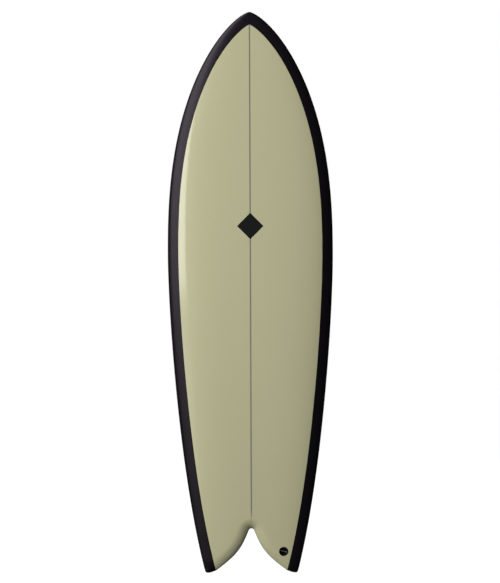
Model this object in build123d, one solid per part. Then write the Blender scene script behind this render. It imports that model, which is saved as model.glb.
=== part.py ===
from build123d import *
import math
import os

# Surfboard, millimetres. +Z runs from the tail to the nose, the deck faces -Y, the underside +Y.
# The origin lies between the two tail tips, halfway through the board's thickness there.

# --- overall shape ---
LENGTH = 1778.0  # tail tips to nose tip, 5 ft 10 in
HALF_WIDTH = 263.5  # at the wide point
TAIL_HALF_WIDTH = 146.8  # outline at the level of the tail tips
WIDE_POINT = 1010.0  # height of the widest section above the tail
THICKNESS = 63.5  # at the thick point
TAIL_THICKNESS = 20.0
NOSE_THICKNESS = 9.0
THICK_POINT = 970.0
TAIL_ROCKER = 45.0
NOSE_ROCKER = 118.0
FLAT_POINT = 760.0  # where the rocker line is lowest, above the tail
DECK_CROWN = 4.0  # power of the deck's cross section: 2 is an ellipse, more is flatter
BOTTOM_CROWN = 8.0
APEX_TAIL = 0.38  # height of the rail's outermost line over the underside, as a share of thickness
APEX_NOSE = 0.48
# powers of the curves that run from the widest, thickest and lowest points to the ends
OUTLINE_TO_NOSE = (2.45, 0.70)
OUTLINE_TO_TAIL = ((0.832, 1.6), (0.168, 5.5))  # (share, power) of each of its two terms
THICKNESS_TO_NOSE = 2.2
THICKNESS_TO_TAIL = 2.4
ROCKER_TO_NOSE = 2.6
ROCKER_TO_TAIL = 2.1

# --- swallow tail ---
NOTCH_DEPTH = 139.6
NOTCH_APEX_R = 9.0
NOTCH_APEX_TURN = 67.0  # degrees of arc each side of the notch's end
TIP_CORNER_R = 9.0
# the notch's edge from its end to a tip: share of the depth left, share of the half span
NOTCH_EDGE = ((0.743, 0.154), (0.560, 0.258), (0.378, 0.408), (0.196, 0.616), (0.037, 0.852))

# --- laminate, bands, stringer ---
SKIN = 1.2
NOSE_PLUG = 14.0  # solid glass at the nose tip
NOSE_FLAT = 0.6  # the tip is cut off square this far from its point
BAND_DECK = 34.4
BAND_AT_NOSE = 3.0  # how much wider a band gets at the nose tip
BAND_NOSE_REACH = 150.0  # how far from the tip it starts to widen
BAND_UNDER = 22.0
STRINGER = 3.4

# --- emblem, a plain lozenge under the glass ---
EMBLEM_HEIGHT = 1103.0
EMBLEM_SIZE = 84.0
EMBLEM_THICKNESS = 0.3

# --- leash plug ---
LEASH_FROM_RAIL = 61.2  # plug's middle in from the outline
LEASH_Z = 68.0
LEASH_R = 14.8
LEASH_DEPTH = 16.0
LEASH_CUP_R = 10.6
LEASH_CUP_DEPTH = 12.5
LEASH_BAR_R = 1.75
LEASH_BAR_DEPTH = 4.6  # bar's centre line under the deck
LEASH_BAR_SEAT = 2.0  # how far each end is held in the cup's wall
LEASH_BAR_TURN = 15.0  # degrees, falling to the right

# --- fins: twin keels, two tabs each ---
FIN_FROM_RAIL = 48.9  # fin's base in from the outline
FIN_Z = 214.0
FIN_TOE = 2.4
FIN_CANT = 6.0
FIN_BASE = 152.0
FIN_DEPTH = 132.0
FIN_OUTER = 5.6  # the foil's bulge on the outer face at the base
FIN_INNER = 2.6
FIN_EDGE = 0.6  # thickness of the trailing edge
FOIL_FULLNESS = 2.6  # brings the foil's widest part to its full bulge
FOIL_TAPER = 0.25  # how much the foil thins towards its trailing edge
FIN_GAP = 0.3  # base to board
FIN_ROOT = 0.07  # share of the depth that the blade is drawn on into the board, then trimmed off
TAB_SPACING = 72.0
TAB_LENGTH = 20.0
TAB_THICKNESS = 6.2
TAB_DEPTH = 14.0
TAB_GAP = 0.15
TAB_ROOT = 1.2  # how far a tab runs up into the blade
# foil heights as shares of the depth: (height, leading edge, trailing edge, thickness share)
FIN_PLAN = (
    (0.00, 0.500, -0.500, 1.00),
    (0.20, 0.420, -0.462, 0.93),
    (0.40, 0.315, -0.452, 0.84),
    (0.60, 0.180, -0.468, 0.72),
    (0.78, 0.020, -0.510, 0.58),
    (0.91, -0.170, -0.565, 0.44),
    (0.98, -0.350, -0.600, 0.30),
    (1.00, -0.450, -0.605, 0.22),
)

# --- fin plugs and their grub screws ---
PLUG_R = 13.0
PLUG_DEPTH = 17.5
SCREW_R = 2.5
SCREW_GAP = 0.05
SCREW_TILT = 35.0
SCREW_SIDE = 9.2  # screw's axis from the tab's middle plane, at the surface
SCREW_SINK = 1.2  # socket end under the surface
SCREW_POINT_R = 1.3
SCREW_POINT = 1.4
SCREW_TAB_GAP = 0.3
SOCKET_FLATS = 2.5
SOCKET_DEPTH = 2.6
SLOT_SPARE = 1.0  # slot's floor under the tab

RIM = 400.0  # half size of the tools that cut right through the board
ABOVE = 20.0  # round tools and slots start this far outside a surface
TAIL_STOCK = 15.0  # hull below the tail tips, cut away with the notch


def half_width(z):
    """Half width of the outline at height z."""
    if z >= WIDE_POINT:
        share = (z - WIDE_POINT) / (LENGTH - WIDE_POINT)
        power, fullness = OUTLINE_TO_NOSE
        return HALF_WIDTH * max(0.0, 1 - share**power) ** fullness
    share = (WIDE_POINT - z) / WIDE_POINT
    fall = sum(part * share**power for part, power in OUTLINE_TO_TAIL)
    return HALF_WIDTH - (HALF_WIDTH - TAIL_HALF_WIDTH) * fall


def thickness(z):
    """Thickness on the centre line at height z."""
    if z >= THICK_POINT:
        share = (z - THICK_POINT) / (LENGTH - THICK_POINT)
        return THICKNESS - (THICKNESS - NOSE_THICKNESS) * share**THICKNESS_TO_NOSE
    share = (THICK_POINT - z) / THICK_POINT
    return THICKNESS - (THICKNESS - TAIL_THICKNESS) * share**THICKNESS_TO_TAIL


def bottom_y(z):
    """Underside on the centre line: the rocker, with y = 0 halfway through the tail."""
    if z >= FLAT_POINT:
        share = (z - FLAT_POINT) / (LENGTH - FLAT_POINT)
        lift = NOSE_ROCKER * share**ROCKER_TO_NOSE
    else:
        share = (FLAT_POINT - z) / FLAT_POINT
        lift = TAIL_ROCKER * share**ROCKER_TO_TAIL
    return TAIL_ROCKER + TAIL_THICKNESS / 2 - lift


def deck_y(z):
    """Deck on the centre line."""
    return bottom_y(z) - thickness(z)


def apex_y(z):
    """The rail's outermost line."""
    share = APEX_TAIL + (APEX_NOSE - APEX_TAIL) * z / LENGTH
    return bottom_y(z) - share * thickness(z)


def drop(x, z, crown):
    """Share of the crown's height that is left at x."""
    return math.sqrt(max(0.0, 1 - min(1.0, abs(x) / half_width(z)) ** crown))


def underside_y(x, z):
    """Underside anywhere under the outline."""
    return apex_y(z) + (bottom_y(z) - apex_y(z)) * drop(x, z, BOTTOM_CROWN)


def topside_y(x, z):
    """Deck anywhere over the outline."""
    return apex_y(z) - (apex_y(z) - deck_y(z)) * drop(x, z, DECK_CROWN)


def quarter(z, side, inset, deck):
    """One quarter of a cross section, from the centre line out to the rail's apex."""
    steps = 12
    wide = half_width(z) - inset
    middle = (deck_y(z) + inset) if deck else (bottom_y(z) - inset)
    crown = DECK_CROWN if deck else BOTTOM_CROWN
    rise = middle - apex_y(z)
    points = []
    for k in range(steps + 1):
        share = math.sin(math.pi / 2 * k / steps)
        left = math.sqrt(max(0.0, 1 - share**crown))
        points.append(Vector(side * wide * share, apex_y(z) + rise * left, z))
    at_middle = Vector(side * wide * math.pi / 2, 0, 0)
    at_apex = Vector(0, -rise * math.sqrt(crown / 2) * math.pi / 2, 0)
    return Edge.make_spline(
        points,
        tangents=[at_middle, at_apex],
        parameters=[k / steps for k in range(steps + 1)],
        scale=False,
    )


def section(z, inset):
    """A closed cross section at height z, drawn in by inset."""
    order = ((1, True), (1, False), (-1, False), (-1, True))
    return Wire([quarter(z, side, inset, deck) for side, deck in order])


def stations():
    """Heights of the cross sections, closer together where the nose narrows."""
    tail_steps, nose_steps = 8, 10
    tail = [-TAIL_STOCK + (WIDE_POINT + TAIL_STOCK) * k / tail_steps for k in range(tail_steps)]
    turn = [math.sin(math.pi / 2 * k / nose_steps) for k in range(nose_steps - 1)]
    nose = [WIDE_POINT + (LENGTH - WIDE_POINT) * share for share in turn]
    return tail + nose + [LENGTH - NOSE_PLUG, LENGTH - NOSE_FLAT]


def hull(inset):
    """The board without its notch, inset from the outside by the laminate."""
    heights = stations() if inset == 0 else stations()[:-1]
    return Solid.make_loft([section(z, inset) for z in heights])


def tip_x():
    """Distance from the centre line to the lowest point of a tail tip."""
    return half_width(TIP_CORNER_R) - TIP_CORNER_R


def notch_flank(grow):
    """Half of the notch's edge, from the arc at its end to a tail tip, moved into the board by grow."""
    centre_z = NOTCH_DEPTH - NOTCH_APEX_R
    turn = math.radians(90 - NOTCH_APEX_TURN)
    start = (NOTCH_APEX_R * math.cos(turn), centre_z + NOTCH_APEX_R * math.sin(turn))
    middle = [(share * tip_x(), left * NOTCH_DEPTH) for left, share in NOTCH_EDGE]
    flank = Edge.make_spline(
        [Vector(x, 0, z) for x, z in [start, *middle, (tip_x(), 0)]],
        tangents=[Vector(math.sin(turn), 0, -math.cos(turn)), Vector(1, 0, 0)],
    )
    if grow == 0:
        return flank
    steps = 16
    moved = []
    for k in range(steps + 1):
        along = flank.tangent_at(k / steps)
        moved.append(flank.position_at(k / steps) + Vector(-along.Z, 0, along.X) * grow)
    return Edge.make_spline(moved, tangents=[flank.tangent_at(0), flank.tangent_at(1)])


def notch_face(grow=0.0):
    """Everything below the tail's edge, in the XZ plane, grown into the board by grow."""
    flank = notch_flank(grow)
    radius = TIP_CORNER_R - grow
    edges = []
    for mirrored in (False, True):
        side = -1 if mirrored else 1
        edges.append(flank.mirror(Plane.YZ) if mirrored else flank)
        middle = (tip_x(), TIP_CORNER_R)
        turn = math.radians(45)
        corner = [
            (middle[0], grow),
            (middle[0] + radius * math.sin(turn), middle[1] - radius * math.cos(turn)),
            (middle[0] + radius, middle[1]),
        ]
        edges.append(Edge.make_three_point_arc(*[Vector(side * x, 0, z) for x, z in corner]))
        outer = [corner[2], (RIM, TIP_CORNER_R), (RIM, -RIM), (0, -RIM)]
        outer = [Vector(side * x, 0, z) for x, z in outer]
        edges += [Edge.make_line(a, b) for a, b in zip(outer, outer[1:])]
    end = flank.position_at(0)
    top = Vector(0, 0, NOTCH_DEPTH + grow)
    edges.append(Edge.make_three_point_arc(Vector(-end.X, 0, end.Z), top, end))
    return Face(Wire(edges))


def through(face):
    """A plan face in XZ made into a tool that passes right through the board."""
    return Solid.extrude(face, Vector(0, 2 * RIM, 0)).moved(Location((0, -RIM, 0)))


def inset_outline(inset):
    """Points of the outline moved in by inset, square to the outline, up to the centre line."""
    tail_rows, nose_rows, step = 22, 66, 1.0
    low, high = -2 * TAIL_STOCK, LENGTH - 2 * step
    heights = [low + (WIDE_POINT - low) * k / tail_rows for k in range(tail_rows)]
    turn = [math.sin(math.pi / 2 * k / nose_rows) for k in range(nose_rows)]
    heights += [WIDE_POINT + (high - WIDE_POINT) * share for share in turn]
    moved = []
    for z in heights:
        slope = (half_width(z + step) - half_width(z - step)) / (2 * step)
        length = math.hypot(1, slope)
        band = inset + BAND_AT_NOSE * max(0.0, 1 - (LENGTH - z) / BAND_NOSE_REACH) ** 2
        moved.append((half_width(z) - band / length, z + band * slope / length))
    return moved


def field_tool(inset):
    """Tool over the board's middle, inside its rail bands."""
    nearest, every = 0.5, 4
    inner = [(x, z) for x, z in inset_outline(inset) if x > nearest]
    (x0, z0), (x1, z1) = inner[-2:]
    tip = (0.0, z1 + x1 * (z1 - z0) / (x0 - x1))
    keep = inner[::every]
    if keep[-1] != inner[-1]:
        keep.append(inner[-1])
    right = Edge.make_spline([Vector(x, 0, z) for x, z in keep])
    left = right.mirror(Plane.YZ)
    edges = [
        right,
        Edge.make_line((keep[-1][0], 0, keep[-1][1]), (tip[0], 0, tip[1])),
        Edge.make_line((tip[0], 0, tip[1]), (-keep[-1][0], 0, keep[-1][1])),
        left,
        Edge.make_line((-keep[0][0], 0, keep[0][1]), (keep[0][0], 0, keep[0][1])),
    ]
    return through(Face(Wire(edges)))


def deck_half_tool():
    """Tool over everything on the deck's side of the rails' apex."""
    steps, spare = 12, 3 * TAIL_STOCK
    heights = [-spare + (LENGTH + 2 * spare) * k / steps for k in range(steps + 1)]
    inside = [Vector(0, apex_y(min(max(z, 0), LENGTH)), z) for z in heights]
    back = [Vector(0, -RIM, heights[-1]), Vector(0, -RIM, heights[0])]
    edges = [Edge.make_spline(inside)]
    edges += [Edge.make_line(a, b) for a, b in ((inside[-1], back[0]), back, (back[1], inside[0]))]
    return Solid.extrude(Face(Wire(edges)), Vector(2 * RIM, 0, 0)).moved(Location((-RIM, 0, 0)))


def slab(low, high):
    """A tool between two heights of X, longer and deeper than the board."""
    box = Box(high - low, 2 * RIM, LENGTH + RIM)
    return box.moved(Location(((low + high) / 2, 0, LENGTH / 2)))


def fin_x():
    """Distance of a fin's base from the centre line."""
    return half_width(FIN_Z) - FIN_FROM_RAIL


def leash_x():
    """Distance of the leash plug's middle from the centre line."""
    return half_width(LEASH_Z) - LEASH_FROM_RAIL


def fin_frame(side):
    """Plane on the underside under a fin: x along its base to the nose, z out of the board."""
    rise = 1.0
    ahead, behind = underside_y(fin_x(), FIN_Z + rise), underside_y(fin_x(), FIN_Z - rise)
    slope = math.atan2(ahead - behind, 2 * rise)
    cant, toe = math.radians(FIN_CANT), math.radians(FIN_TOE)
    along = Vector(-side * math.sin(toe), math.sin(slope), math.cos(toe) * math.cos(slope)).normalized()
    out = Vector(side * math.sin(cant), math.cos(cant), 0)
    out = (out - along * out.dot(along)).normalized()
    base = Vector(side * fin_x(), underside_y(fin_x(), FIN_Z), FIN_Z)
    return Plane(origin=base, x_dir=along, z_dir=out)


def foil(outboard, height, lead, trail, bulge):
    """One closed foil section of a fin, in the fin's own frame: rounded in front, blunt behind."""
    steps = 8
    chord = (lead - trail) * FIN_BASE
    points = []
    for k in range(-steps, steps + 1):
        share = (1 - math.cos(math.pi * abs(k) / steps)) / 2
        swell = FOIL_FULLNESS * (math.sqrt(share) - share) * (1 - FOIL_TAPER * share)
        amount = FIN_OUTER if k > 0 else FIN_INNER
        way = outboard if k > 0 else -outboard
        y = way * (bulge * amount * swell + FIN_EDGE / 2 * share)
        points.append(Vector(lead * FIN_BASE - chord * share, y, height))
    face = Edge.make_spline(points, parameters=[k / (2 * steps) for k in range(2 * steps + 1)])
    return Wire([face, Edge.make_line(points[-1], points[0])])


def outboard_of(frame, side):
    """The sign of the fin frame's y on the side that faces the rail."""
    return 1 if frame.y_dir.X * side > 0 else -1


def place(frame, x=0.0, y=0.0, z=0.0, tilt=0.0):
    """Location in a fin's frame, tilted about the base line."""
    return frame.location * Location((x, y, z), (tilt, 0, 0))


def tab_box(frame, x, gap, low, high):
    """A tab, or with a gap its slot, square to the base."""
    box = Box(TAB_LENGTH + 2 * gap, TAB_THICKNESS + 2 * gap, high - low)
    return box.moved(place(frame, x, 0, (low + high) / 2))


def fin(frame, side, board):
    """Blade and two tabs of one fin."""
    root = -FIN_ROOT * FIN_DEPTH
    first = FIN_PLAN[0]
    rows = [(root, first[1], first[2], first[3])]
    rows += [(share * FIN_DEPTH, lead, trail, bulge) for share, lead, trail, bulge in FIN_PLAN]
    outboard = outboard_of(frame, side)
    blade = Solid.make_loft([foil(outboard, *row) for row in rows]).moved(frame.location)
    near = board & Box(FIN_BASE + 2 * ABOVE, 3 * ABOVE, 3 * ABOVE).moved(frame.location)
    blade = blade - near.moved(Location(frame.z_dir * FIN_GAP))
    for x in (TAB_SPACING / 2, -TAB_SPACING / 2):
        blade = blade + tab_box(frame, x, 0, -TAB_DEPTH, TAB_ROOT)
    return blade


def round_tool(radius, depth):
    """A cylinder from above a surface down to a depth under it, along z."""
    tool = Cylinder(radius, depth + ABOVE, align=(Align.CENTER, Align.CENTER, Align.MAX))
    return tool.moved(Location((0, 0, ABOVE)))


def screw_place(frame, x, side):
    """Location of a grub screw: its z is its axis, out of the board and away from the blade."""
    inboard = -outboard_of(frame, side)
    return place(frame, x, inboard * SCREW_SIDE, 0, -inboard * SCREW_TILT)


def screw_length():
    """From the socket end to the point, which stops short of the tab."""
    tilt = math.radians(SCREW_TILT)
    reach = SCREW_SIDE - TAB_THICKNESS / 2 - SCREW_TAB_GAP - SCREW_POINT_R * math.cos(tilt)
    return reach / math.sin(tilt) - SCREW_SINK


def screw(where):
    """Grub screw with a hexagon socket and a turned-down point."""
    long = screw_length()
    body = Cylinder(SCREW_R, long - SCREW_POINT, align=(Align.CENTER, Align.CENTER, Align.MAX))
    point = Cone(
        SCREW_POINT_R, SCREW_R, SCREW_POINT, align=(Align.CENTER, Align.CENTER, Align.MAX)
    ).moved(Location((0, 0, -(long - SCREW_POINT))))
    socket = extrude(RegularPolygon(SOCKET_FLATS / 2, 6, major_radius=False), -SOCKET_DEPTH)
    whole = (body + point - socket).moved(Location((0, 0, -SCREW_SINK)))
    return whole.moved(where)


def screw_hole(where):
    """The screw's threaded hole, from above the surface down into the tab's slot."""
    reach = SCREW_SIDE / math.sin(math.radians(SCREW_TILT))
    return round_tool(SCREW_R + SCREW_GAP, reach).moved(where)


def halves(solid, low, high):
    """A left and a right piece, cut from a solid by slabs from low to high."""
    return solid & slab(-high, -low), solid & slab(low, high)


def lozenge():
    """Tool of the emblem's outline."""
    half = EMBLEM_SIZE / 2
    corners = [(half, 0), (0, half), (-half, 0), (0, -half)]
    points = [Vector(x, 0, EMBLEM_HEIGHT + z) for x, z in corners]
    return through(Face(Wire.make_polygon(points)))


def leash_place(depth=0.0):
    """Location over the leash plug: z points out of the deck, x along the bar."""
    plane = Plane(
        origin=(leash_x(), topside_y(leash_x(), LEASH_Z) + depth, LEASH_Z),
        x_dir=(1, 0, -math.tan(math.radians(LEASH_BAR_TURN))),
        z_dir=(0, -1, 0),
    )
    return plane.location


def leash_plug(board):
    """The cup let into the deck, and the bar across it that a leash cord is tied to."""
    rod = Cylinder(LEASH_BAR_R, 2 * (LEASH_CUP_R + LEASH_BAR_SEAT), rotation=(0, 90, 0))
    bar = rod.moved(leash_place(LEASH_BAR_DEPTH))
    body = round_tool(LEASH_R, LEASH_DEPTH).moved(leash_place()) & board
    cup = body - round_tool(LEASH_CUP_R, LEASH_CUP_DEPTH).moved(leash_place()) - bar
    return {"leash_plug_cup": cup, "leash_plug_bar": bar}, body


def fin_set(side, name, board):
    """One side's fin, its two plugs and their screws, and the room the plugs take up."""
    frame = fin_frame(side)
    pieces = {f"fin_{name}": fin(frame, side, board)}
    room = []
    for end, x in (("front", TAB_SPACING / 2), ("rear", -TAB_SPACING / 2)):
        body = round_tool(PLUG_R, PLUG_DEPTH).moved(place(frame, x)) & board
        where = screw_place(frame, x, side)
        slot = tab_box(frame, x, TAB_GAP, -TAB_DEPTH - SLOT_SPARE, ABOVE)
        pieces[f"fin_plug_{end}_{name}"] = body - slot - screw_hole(where)
        pieces[f"fin_screw_{end}_{name}"] = screw(where)
        room.append(body)
    return pieces, room


def main():
    """Builds every piece and writes each to its own file."""
    os.makedirs("parts", exist_ok=True)
    board = hull(0) - through(notch_face())
    inside = hull(SKIN) - through(notch_face(SKIN))
    skin = board - inside
    deck_half = deck_half_tool()
    field_deck = field_tool(BAND_DECK) & deck_half
    field_under = field_tool(BAND_UNDER) - deck_half
    band_left, band_right = halves(skin - field_deck - field_under, 0, RIM)
    core_left, core_right = halves(inside, STRINGER / 2, RIM)
    pieces = {
        "deck_laminate": skin & field_deck,
        "bottom_laminate": skin & field_under,
        "rail_band_left": band_left,
        "rail_band_right": band_right,
        "foam_core_left": core_left,
        "foam_core_right": core_right,
        "stringer": inside & slab(-STRINGER / 2, STRINGER / 2),
    }
    emblem = pieces["deck_laminate"] & lozenge()
    emblem = emblem - board.moved(Location((0, EMBLEM_THICKNESS, 0)))
    pieces["deck_laminate"] = pieces["deck_laminate"] - emblem

    plug_pieces, plug_room = leash_plug(board)
    fittings = {"deck_emblem": emblem, **plug_pieces}
    rooms = [plug_room]
    for side, name in ((-1, "left"), (1, "right")):
        more, room = fin_set(side, name, board)
        fittings.update(more)
        rooms += room
    for node, solid in pieces.items():
        for room in rooms:
            if solid.bounding_box().overlaps(room.bounding_box()):
                solid = solid - room
        pieces[node] = solid
    for node, solid in {**pieces, **fittings}.items():
        export_step(solid, f"parts/{node}.step")


main()
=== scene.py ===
"""A swallow-tailed shortboard with two keel fins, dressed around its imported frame.

Metres. +Z runs from the tail to the nose, the deck faces -Y and the underside +Y.
"""

from __future__ import annotations

import logging
import math
from dataclasses import dataclass, field
from enum import Enum
from typing import Any, Callable, Sequence

import bmesh
import bpy
import numpy as np
from mathutils import Euler, Matrix, Vector


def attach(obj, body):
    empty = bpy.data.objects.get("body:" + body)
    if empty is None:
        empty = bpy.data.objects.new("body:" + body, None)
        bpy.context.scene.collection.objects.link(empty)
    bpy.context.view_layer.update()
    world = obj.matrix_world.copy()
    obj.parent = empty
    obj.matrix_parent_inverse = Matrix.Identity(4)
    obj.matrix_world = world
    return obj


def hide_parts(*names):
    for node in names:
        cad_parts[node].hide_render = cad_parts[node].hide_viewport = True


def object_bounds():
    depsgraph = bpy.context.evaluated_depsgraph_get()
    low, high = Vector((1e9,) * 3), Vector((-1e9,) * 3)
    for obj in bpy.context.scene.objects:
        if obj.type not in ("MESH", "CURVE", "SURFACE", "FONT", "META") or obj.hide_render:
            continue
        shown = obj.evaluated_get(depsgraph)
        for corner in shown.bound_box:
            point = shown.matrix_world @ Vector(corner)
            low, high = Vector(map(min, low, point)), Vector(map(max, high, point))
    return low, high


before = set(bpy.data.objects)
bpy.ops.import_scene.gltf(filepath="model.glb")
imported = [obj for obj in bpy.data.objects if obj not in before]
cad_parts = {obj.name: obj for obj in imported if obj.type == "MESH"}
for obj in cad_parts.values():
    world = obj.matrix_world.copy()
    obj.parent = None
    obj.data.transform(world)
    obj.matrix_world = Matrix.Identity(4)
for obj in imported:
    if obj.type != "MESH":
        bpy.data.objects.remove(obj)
CAD_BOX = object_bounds()

log = logging.getLogger("surfboard")
Array = np.ndarray
Colour = tuple[float, float, float, float]
Settings = dict[str, Any] | None
Inputs = dict[Any, Any] | None
FINE = 900  # points of a line that others are measured against
AXIS = 1e-6  # a profile's radius where it meets its axis, small enough to be welded shut


class Face(Enum):
    """The two faces of the board, by the direction they look along Y."""

    DECK = -1
    UNDERSIDE = 1


class Side(Enum):
    """The two sides of the board, by their sign along X."""

    LEFT = -1
    RIGHT = 1


# ----------------------------------------------------------------------------- shape


def run_along(line: Array) -> Array:
    """Distance along a line at each of its points."""
    return np.concatenate([[0], np.cumsum(np.linalg.norm(np.diff(line, axis=0), axis=1))])


def spread(first: Array, last: Array, count: int) -> Array:
    """A row of numbers from each first to each last one, close together at both ends."""
    share = (1 - np.cos(np.linspace(0, 1, count) * math.pi)) / 2
    return first[:, None] + (last - first)[:, None] * share[None, :]


def slowing(count: int) -> Array:
    """Shares from 0 to 1, close together at the far end."""
    return np.sin(np.linspace(0, 1, count) * math.pi / 2)


def clamped_spline(points: Array, start: Array, end: Array, count: int) -> Array:
    """Runs a smooth curve through points, with a given direction at each end.

    Args:
        points: The points it passes through, one row each.
        start: Unit direction at the first point.
        end: Unit direction at the last point.
        count: How many points to return.

    Returns:
        Points along the curve, evenly spaced in its parameter.
    """
    knots = run_along(points)
    steps = np.diff(knots)
    size = len(points)
    system, right = np.eye(size), np.zeros_like(points)
    right[0], right[-1] = start, end
    for k in range(1, size - 1):
        before, after = steps[k - 1], steps[k]
        system[k, k - 1 : k + 2] = after, 2 * (before + after), before
        rise_before = (points[k] - points[k - 1]) / before
        rise_after = (points[k + 1] - points[k]) / after
        right[k] = 3 * (after * rise_before + before * rise_after)
    slopes = np.linalg.solve(system, right)
    where = np.linspace(0, knots[-1], count)
    cell = np.clip(np.searchsorted(knots, where, side="right") - 1, 0, size - 2)
    span = steps[cell][:, None]
    t = ((where - knots[cell]) / steps[cell])[:, None]
    return (
        (2 * t**3 - 3 * t**2 + 1) * points[cell]
        + (t**3 - 2 * t**2 + t) * span * slopes[cell]
        + (3 * t**2 - 2 * t**3) * points[cell + 1]
        + (t**3 - t**2) * span * slopes[cell + 1]
    )


def resample(line: Array, share: Array) -> Array:
    """Points of a line at shares of its length."""
    run = run_along(line)
    return np.column_stack([np.interp(share * run[-1], run, column) for column in line.T])


@dataclass(frozen=True)
class TailEdge:
    """The edge of the swallow tail in plan: round end of the notch, flank, tip and corner."""

    depth: float = 0.1396
    apex_radius: float = 0.009
    apex_turn: float = 67.0
    corner: float = 0.009
    tip_x: float = 0.1396
    course: tuple[tuple[float, float], ...] = (
        (0.743, 0.154), (0.560, 0.258), (0.378, 0.408), (0.196, 0.616), (0.037, 0.852),
    )

    def apex(self, count: int) -> Array:
        """The arc at the notch's end, from the centre line outwards."""
        turn = np.radians(90 - np.linspace(0, self.apex_turn, count))
        middle = self.depth - self.apex_radius
        return np.column_stack(
            [self.apex_radius * np.cos(turn), middle + self.apex_radius * np.sin(turn)]
        )

    def flank(self, count: int) -> Array:
        """The notch's side, from the end of the arc down to the tip."""
        first = self.apex(2)[-1]
        course = [(share * self.tip_x, left * self.depth) for left, share in self.course]
        turn = math.radians(90 - self.apex_turn)
        away = np.array([math.sin(turn), -math.cos(turn)])
        points = np.array([first, *course, (self.tip_x, 0.0)])
        return clamped_spline(points, away, np.array([1.0, 0.0]), count)

    def tip(self, count: int) -> Array:
        """The arc from the tip round to the outline."""
        turn = np.radians(np.linspace(-90, 0, count))
        return np.column_stack(
            [self.tip_x + self.corner * np.cos(turn), self.corner + self.corner * np.sin(turn)]
        )


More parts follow.
